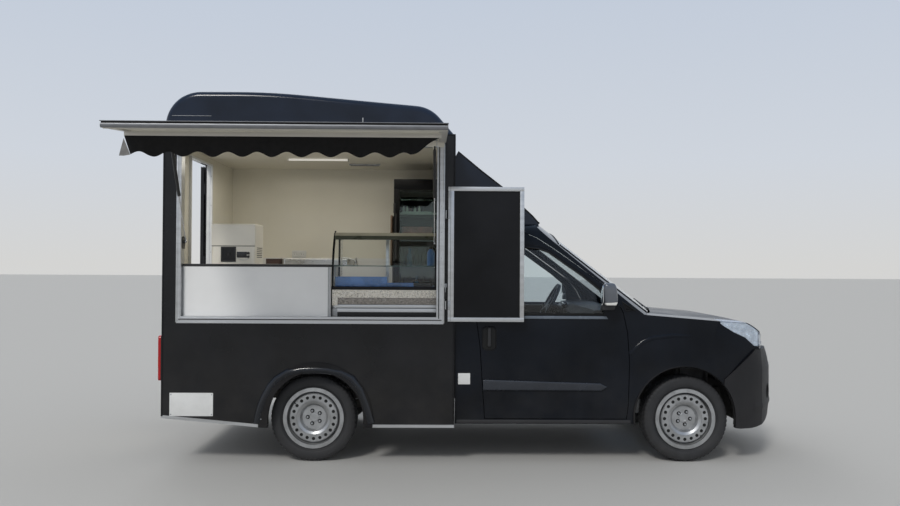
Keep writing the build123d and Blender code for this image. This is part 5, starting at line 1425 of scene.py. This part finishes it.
def bumper_shell():
    """The front bumper with its stepped upper edge and drawn-up lower corner."""
    part = bmesh.new()
    part.from_mesh(nodes["front_bumper"].data)
    cuts = [((0, 0, height), (0, 0, 1)) for height in spaced(0.26, 0.02, 30)]
    cuts += [((along, 0, 0), (1, 0, 0)) for along in spaced(3.05, 0.05, 11)]
    for place, normal in cuts:
        geometry = part.verts[:] + part.edges[:] + part.faces[:]
        bmesh.ops.bisect_plane(part, geom=geometry, dist=1e-5, plane_co=place, plane_no=normal)
    for vert in part.verts:
        x, y, z = vert.co
        ahead = ramp_up(x, 3.22, 0.36)
        ahead = ahead * ahead * (3 - 2 * ahead)
        low = ramp_up(-z, -0.42, 0.16)
        top = ramp_up(z, 0.69, 0.014)
        rise = ramp_up(z, 0.7, 0.14)
        lip = math.exp(-((z - 0.405) / 0.022) ** 2)
        reach = max(0.001, math.hypot(x - 2.28, y))
        out = Vector(((x - 2.28) / reach, y / reach, 0))
        vert.co.z += 0.055 * ahead * low
        vert.co += out * (-0.008 * top - 0.036 * rise ** 1.5 - 0.012 * low) * ahead
        if reach > 1.3:
            vert.co += out * 0.006 * lip
    Form("trim_black").take(part).done("bumper_shell", "trim_black", replaces=["front_bumper"], sharp=30)


def front_lamps():
    """Bowls and bulbs in the headlamps, and the fog lamps in the bumper."""
    bowls = (
        ((3.318, 0.665, 0.925), 0.046, (0.94, 0.3, 0.12)),
        ((3.225, 0.752, 0.962), 0.04, (0.8, 0.56, 0.16)),
        ((3.12, 0.815, 0.985), 0.026, (0.5, 0.84, 0.18)),
    )
    for side, name in SIDES:
        form = Form("lamp_chrome", "lamp_bulb")
        for spot, radius, way in bowls:
            centre = (spot[0], side * spot[1], spot[2])
            axis = (way[0], side * way[1], way[2])
            quarter = arc((0, 0), radius, range(0, 91, 15))
            bowl = [(across, 0.7 * (radius - along) - 0.6 * radius) for along, across in quarter]
            bowl += [(radius * 1.1, radius * 0.12), (radius * 1.1, 0), (radius * 0.98, -0.01)]
            form.use("lamp_chrome").turned(bowl, centre, axis, 28)
            bulb = ((0.3 * radius, -0.3 * radius), (0.3 * radius, 0), (0.16 * radius, 0.12 * radius),
                    (0, 0.14 * radius))
            form.use("lamp_bulb").turned(bulb, centre, axis, 16)
        form.done("lamp_bowls_" + name, "lamp_clear")
        form = Form("seal_black", "lamp_chrome", "display_dark")
        axis = Vector((0.877, side * 0.48, 0))
        centre = Vector((bumper_spot(0.64), side * 0.64, 0.5)) - axis * 0.004
        ring = ((0.06, -0.004), (0.06, 0.004), (0.056, 0.008), (0.0475, 0.005), (0.044, -0.028),
                (0.042, -0.03))
        form.turned(ring, centre, axis, 36)
        bowl = ((0.043, -0.02), (0.03, -0.036), (0.012, -0.044), (0, -0.045))
        form.use("lamp_chrome").turned(bowl, centre, axis, 28)
        form.use("display_dark").turned(((0.0445, -0.014), (0.03, -0.008), (0, -0.006)), centre, axis, 28)
        form.done("fog_lamp_" + name, "lamp_clear")


def grille_trim():
    """Ribs and bright bars of the grille, the bumper's upper lip and the bars of its intake."""
    form = Form("grille_black", "bright_steel")
    for y in spaced(-0.48, 0.032, 31):
        form.bar((3.37, y - 0.0025, 0.845), (3.386, y + 0.0025, 0.927), 0.001)
    form.use("bright_steel")
    for z in (0.871, 0.901):
        x = 3.4 + (0.89 - z) * 0.636
        form.bar((x - 0.004, -0.545, z - 0.0035), (x + 0.005, 0.545, z + 0.0035))
    form.done("grille_ribs", "trim_black")
    form = Form("grille_black")
    form.tube([(bumper_spot(y, -0.006), y, 0.696) for y in spaced(-0.79, 0.0395, 41)], 0.004, 8)
    intake = [(bumper_spot(y, -0.03), y) for y in [-0.46 + 0.92 * step / 24 for step in range(25)]]
    for z in (0.378, 0.404, 0.43):
        form.tube([(x, y, z) for x, y in intake], 0.005, 8)
    for x, y in intake[::2]:
        form.tube(((x, y, 0.35), (x, y, 0.462)), 0.0035, 8)
    form.done("bumper_lip", "trim_black")


def screen_trim():
    """Wipers and the seal round the windscreen."""
    form = Form("seal_black", "satin_black")
    for pivot, tip, drop in (((2.575, -0.42), (2.52, -0.5), 0.56), ((2.575, 0.18), (2.52, 0.1), 0.5)):
        base = Vector((*pivot, screen_z(*pivot) + 0.004))
        middle = (tip[0] - 0.004, tip[1] + drop * 0.5)
        knob = ((0.014, -0.012), (0.014, 0.006), (0.01, 0.01), (0, 0.011))
        form.use("satin_black").turned(knob, base, (0.61, 0, 0.79), 16)
        form.tube((base + Vector((0, 0, 0.004)), (*middle, screen_z(*middle) + 0.009)), 0.004, 8)
        blade = [(tip[0] - 0.01 * step / 10, tip[1] + drop * step / 10) for step in range(11)]
        form.use("seal_black").tube([(x, y, screen_z(x, y) + 0.003) for x, y in blade], 0.004, 8)
    form.done("wipers", "trim_black")
    form = Form("seal_black")
    form.tube([(1.822, y, screen_z(1.822, y) + 0.001) for y in spaced(-0.73, 0.073, 21)], 0.006, 8)
    for y in (-0.7345, 0.7345):
        edge = [1.83 + 0.665 * step / 12 for step in range(13)]
        form.tube([(x, y, screen_z(x, y) + 0.001) for x in edge], 0.0055, 8)
    form.done("screen_seal", "trim_black")


def soft(points):
    """Rounds an outline's corners."""
    made = []
    for index, (x, z) in enumerate(points):
        for other in (points[index - 1], points[(index + 1) % len(points)]):
            made.append((x + (other[0] - x) * 0.22, z + (other[1] - z) * 0.22))
    return made


def pad(form, outline, centre, half):
    """A quilted pad across the seat, its ends drawn in."""
    profile = soft(soft(outline))
    middle = (sum(x for x, _ in profile) / len(profile), sum(z for _, z in profile) / len(profile))
    rows = []
    for along in [-1 + 2 * step / 14 for step in range(15)]:
        shrink = 1 - abs(along) ** 6 * 0.1
        dip = 0.012 * math.cos(along * math.pi * 3)
        rows.append([
            (middle[0] + (x - middle[0]) * shrink, centre + along * half,
             middle[1] + (z - middle[1]) * shrink + (dip if z > middle[1] else 0)) for x, z in profile])
    form.rings(rows)


def seats_padded():
    """Two cloth seats: cushion, backrest and head restraint, rounded and quilted."""
    pads = (
        (((1.33, 0.64), (1.33, 0.8), (1.44, 0.858), (1.82, 0.868), (1.858, 0.815), (1.838, 0.65)), 0.238),
        (((1.335, 0.72), (1.24, 1.13), (1.262, 1.18), (1.33, 1.17), (1.405, 0.9), (1.43, 0.78)), 0.232),
        (((1.205, 1.195), (1.192, 1.31), (1.232, 1.34), (1.282, 1.33), (1.298, 1.215)), 0.125),
    )
    for y, name, replaced in ((-0.38, "right", ["seats"]), (0.38, "left", ())):
        form = Form("seat_cloth", "seat_side")
        for outline, half in pads:
            pad(form, outline, y, half)
        form.use("seat_side").bar((1.36, y - 0.2, 0.528), (1.8, y + 0.2, 0.665), 0.02, 3)
        for offset in (-0.05, 0.05):
            form.tube(((1.262, y + offset, 1.15), (1.245, y + offset, 1.225)), 0.006, 8)
        made = form.done("seat_" + name, "seat_cloth", replaces=replaced, sharp=50)


def cab_inside():
    """Vents, display and gear lever."""
    form = Form("dash_black", "display_dark", "seal_black")
    for y in (-0.62, -0.1, 0.1, 0.62):
        form.bar((2.018, y - 0.055, 1.02), (2.04, y + 0.055, 1.06), 0.006)
    form.use("display_dark").bar((2.02, 0.29, 1.075), (2.05, 0.45, 1.128), 0.006)
    form.use("seal_black").tube(((1.8, -0.02, 0.56), (1.815, -0.02, 0.76)), 0.008)
    knob = ((0, 0), (0.02, 0.004), (0.024, 0.02), (0.018, 0.04), (0, 0.046))
    form.turned(knob, (1.815, -0.02, 0.75), UP, 16)
    form.done("dashboard_details", "trim_black")


window_trim()
door_fittings()
mirrors()
arch_trim()
flare_trim()
lamp_reflectors()
bumper_shell()
front_lamps()
grille_trim()
screen_trim()
seats_padded()
cab_inside()


# Outside of the box
def box_outside():
    """Corner profiles, drip rails, the blank plate, a painted highlight line and a small mark."""
    form = Form("board_black")
    for x0, x1, low in ((-1.0895, -1.074, 0.345), (1.0215, 1.0365, 0.312)):
        for side in (-1, 1):
            form.bar((x0, side * 0.9365, low), (x1, side * 0.9515, 2.398), 0.004, 3)
    for side in (-1, 1):
        form.bar((-1.089, side * 0.948, 2.396), (1.036, side * 0.953, 2.408))
    form.done("corner_profiles", "box_paint")
    form = Form("white_frame", "zinc", "grey_edge")
    form.prism(rounded((-1.026, 0.348), (-0.712, 0.516), 0.004), "Y", -0.953, WALL, 0.0008)
    form.use("zinc")
    for x in (-1.016, -0.722):
        for z in (0.36, 0.504):
            screw(form, (x, -0.9528, z), OUTWARD, 0.005, 0.0025)
    form.use("white_frame").prism(rounded((1.063, 0.58), (1.151, 0.661), 0.003), "Y", -0.9185, -0.913, 0.0006)
    # The long thin grey line at the top is a painted highlight along the roof cap's edge; the short upright
    # one is a small light mark above the flap.
    form.use("grey_edge")
    form.plates((-0.9512, WALL), 0.0005, (-1.03, 2.5262, -0.744, 2.5288), (0.354, 2.472, 0.361, 2.522))
    form.done("blank_plate", "aluminium")


def rear_lenses():
    """Housing and lens fields of the rear lamps."""
    form = Form("seal_black", "lens_red", "lens_amber", "lens_white")
    for side in (-1, 1):
        y = side * 0.865
        housing = rounded((y - 0.0425, 0.5925), (y + 0.0425, 0.9275), 0.02)
        form.use("seal_black").prism(housing, "X", -1.108, -1.0878, 0.002)
        for lens, low, high in (("lens_red", 0.78, 0.92), ("lens_amber", 0.692, 0.776),
                                ("lens_white", 0.602, 0.688)):
            field = rounded((y - 0.034, low), (y + 0.034, high), 0.01)
            form.use(lens).prism(field, "X", -1.13, -1.124, 0.002)
        button = ((0.024, -0.001), (0.022, 0.002), (0, 0.0022))
        form.use("lens_red").turned(button, (-1.13, y, 0.85), (-1, 0, 0), 24)
        form.use("seal_black")
        for low in (0.776, 0.688):
            form.bar((-1.129, y - 0.036, low), (-1.124, y + 0.036, low + 0.004), 0.001)
    form.done("rear_lamp_lenses", "lamp_red")


def entrance_fittings():
    """Lock, lever, edge profiles and seals of the entrance door."""
    form = Form("satin_black", "bright_steel", "seal_black", "aluminium")
    face, back = -1.1323, -1.1031
    form.bar((face - 0.006, 0.672, 1.33), (face + 0.001, 0.712, 1.5), 0.003)
    lever = ((face - 0.004, 0.692, 1.44), (face - 0.034, 0.692, 1.44), (face - 0.038, 0.68, 1.44),
             (face - 0.038, 0.59, 1.44))
    form.use("bright_steel").tube(lever, 0.007, 12)
    form.use("satin_black").bar((-1.1045, 0.672, 1.36), (-1.098, 0.712, 1.48), 0.003)
    form.use("aluminium")
    for y0, z0, y1, z1 in ((0.156, 0.565, 0.742, 0.572), (0.156, 2.278, 0.742, 2.285),
                           (0.735, 0.565, 0.7425, 2.285)):
        form.bar((face - 0.0012, y0, z0), (back, y1, z1), 0.001)
    form.use("seal_black")
    for y in (0.166, 0.726):
        form.bar((face - 0.0022, y, 0.58), (face + 0.001, y + 0.006, 2.27), 0.001)
    form.done("entrance_door_fittings", "aluminium", "entrance_door")


def deflector_trim():
    """Rubber edge round the wind deflector and its rounded lip."""
    outline = ((1.043, 2.28), (1.062, 2.325), (1.236, 2.182), (1.433, 2.03), (1.56, 1.902), (1.635, 1.834),
               (1.683, 1.78))
    form = Form("seal_black", "board_black")
    for y in (-0.619, 0.619):
        form.tube([(x, y, z) for x, z in outline], 0.0055, 8)
    form.use("board_black").tube(((1.684, -0.615, 1.779), (1.684, 0.615, 1.779)), 0.009, 12)
    form.done("deflector_edges", "roof_black")


box_outside()
rear_lenses()
entrance_fittings()
deflector_trim()
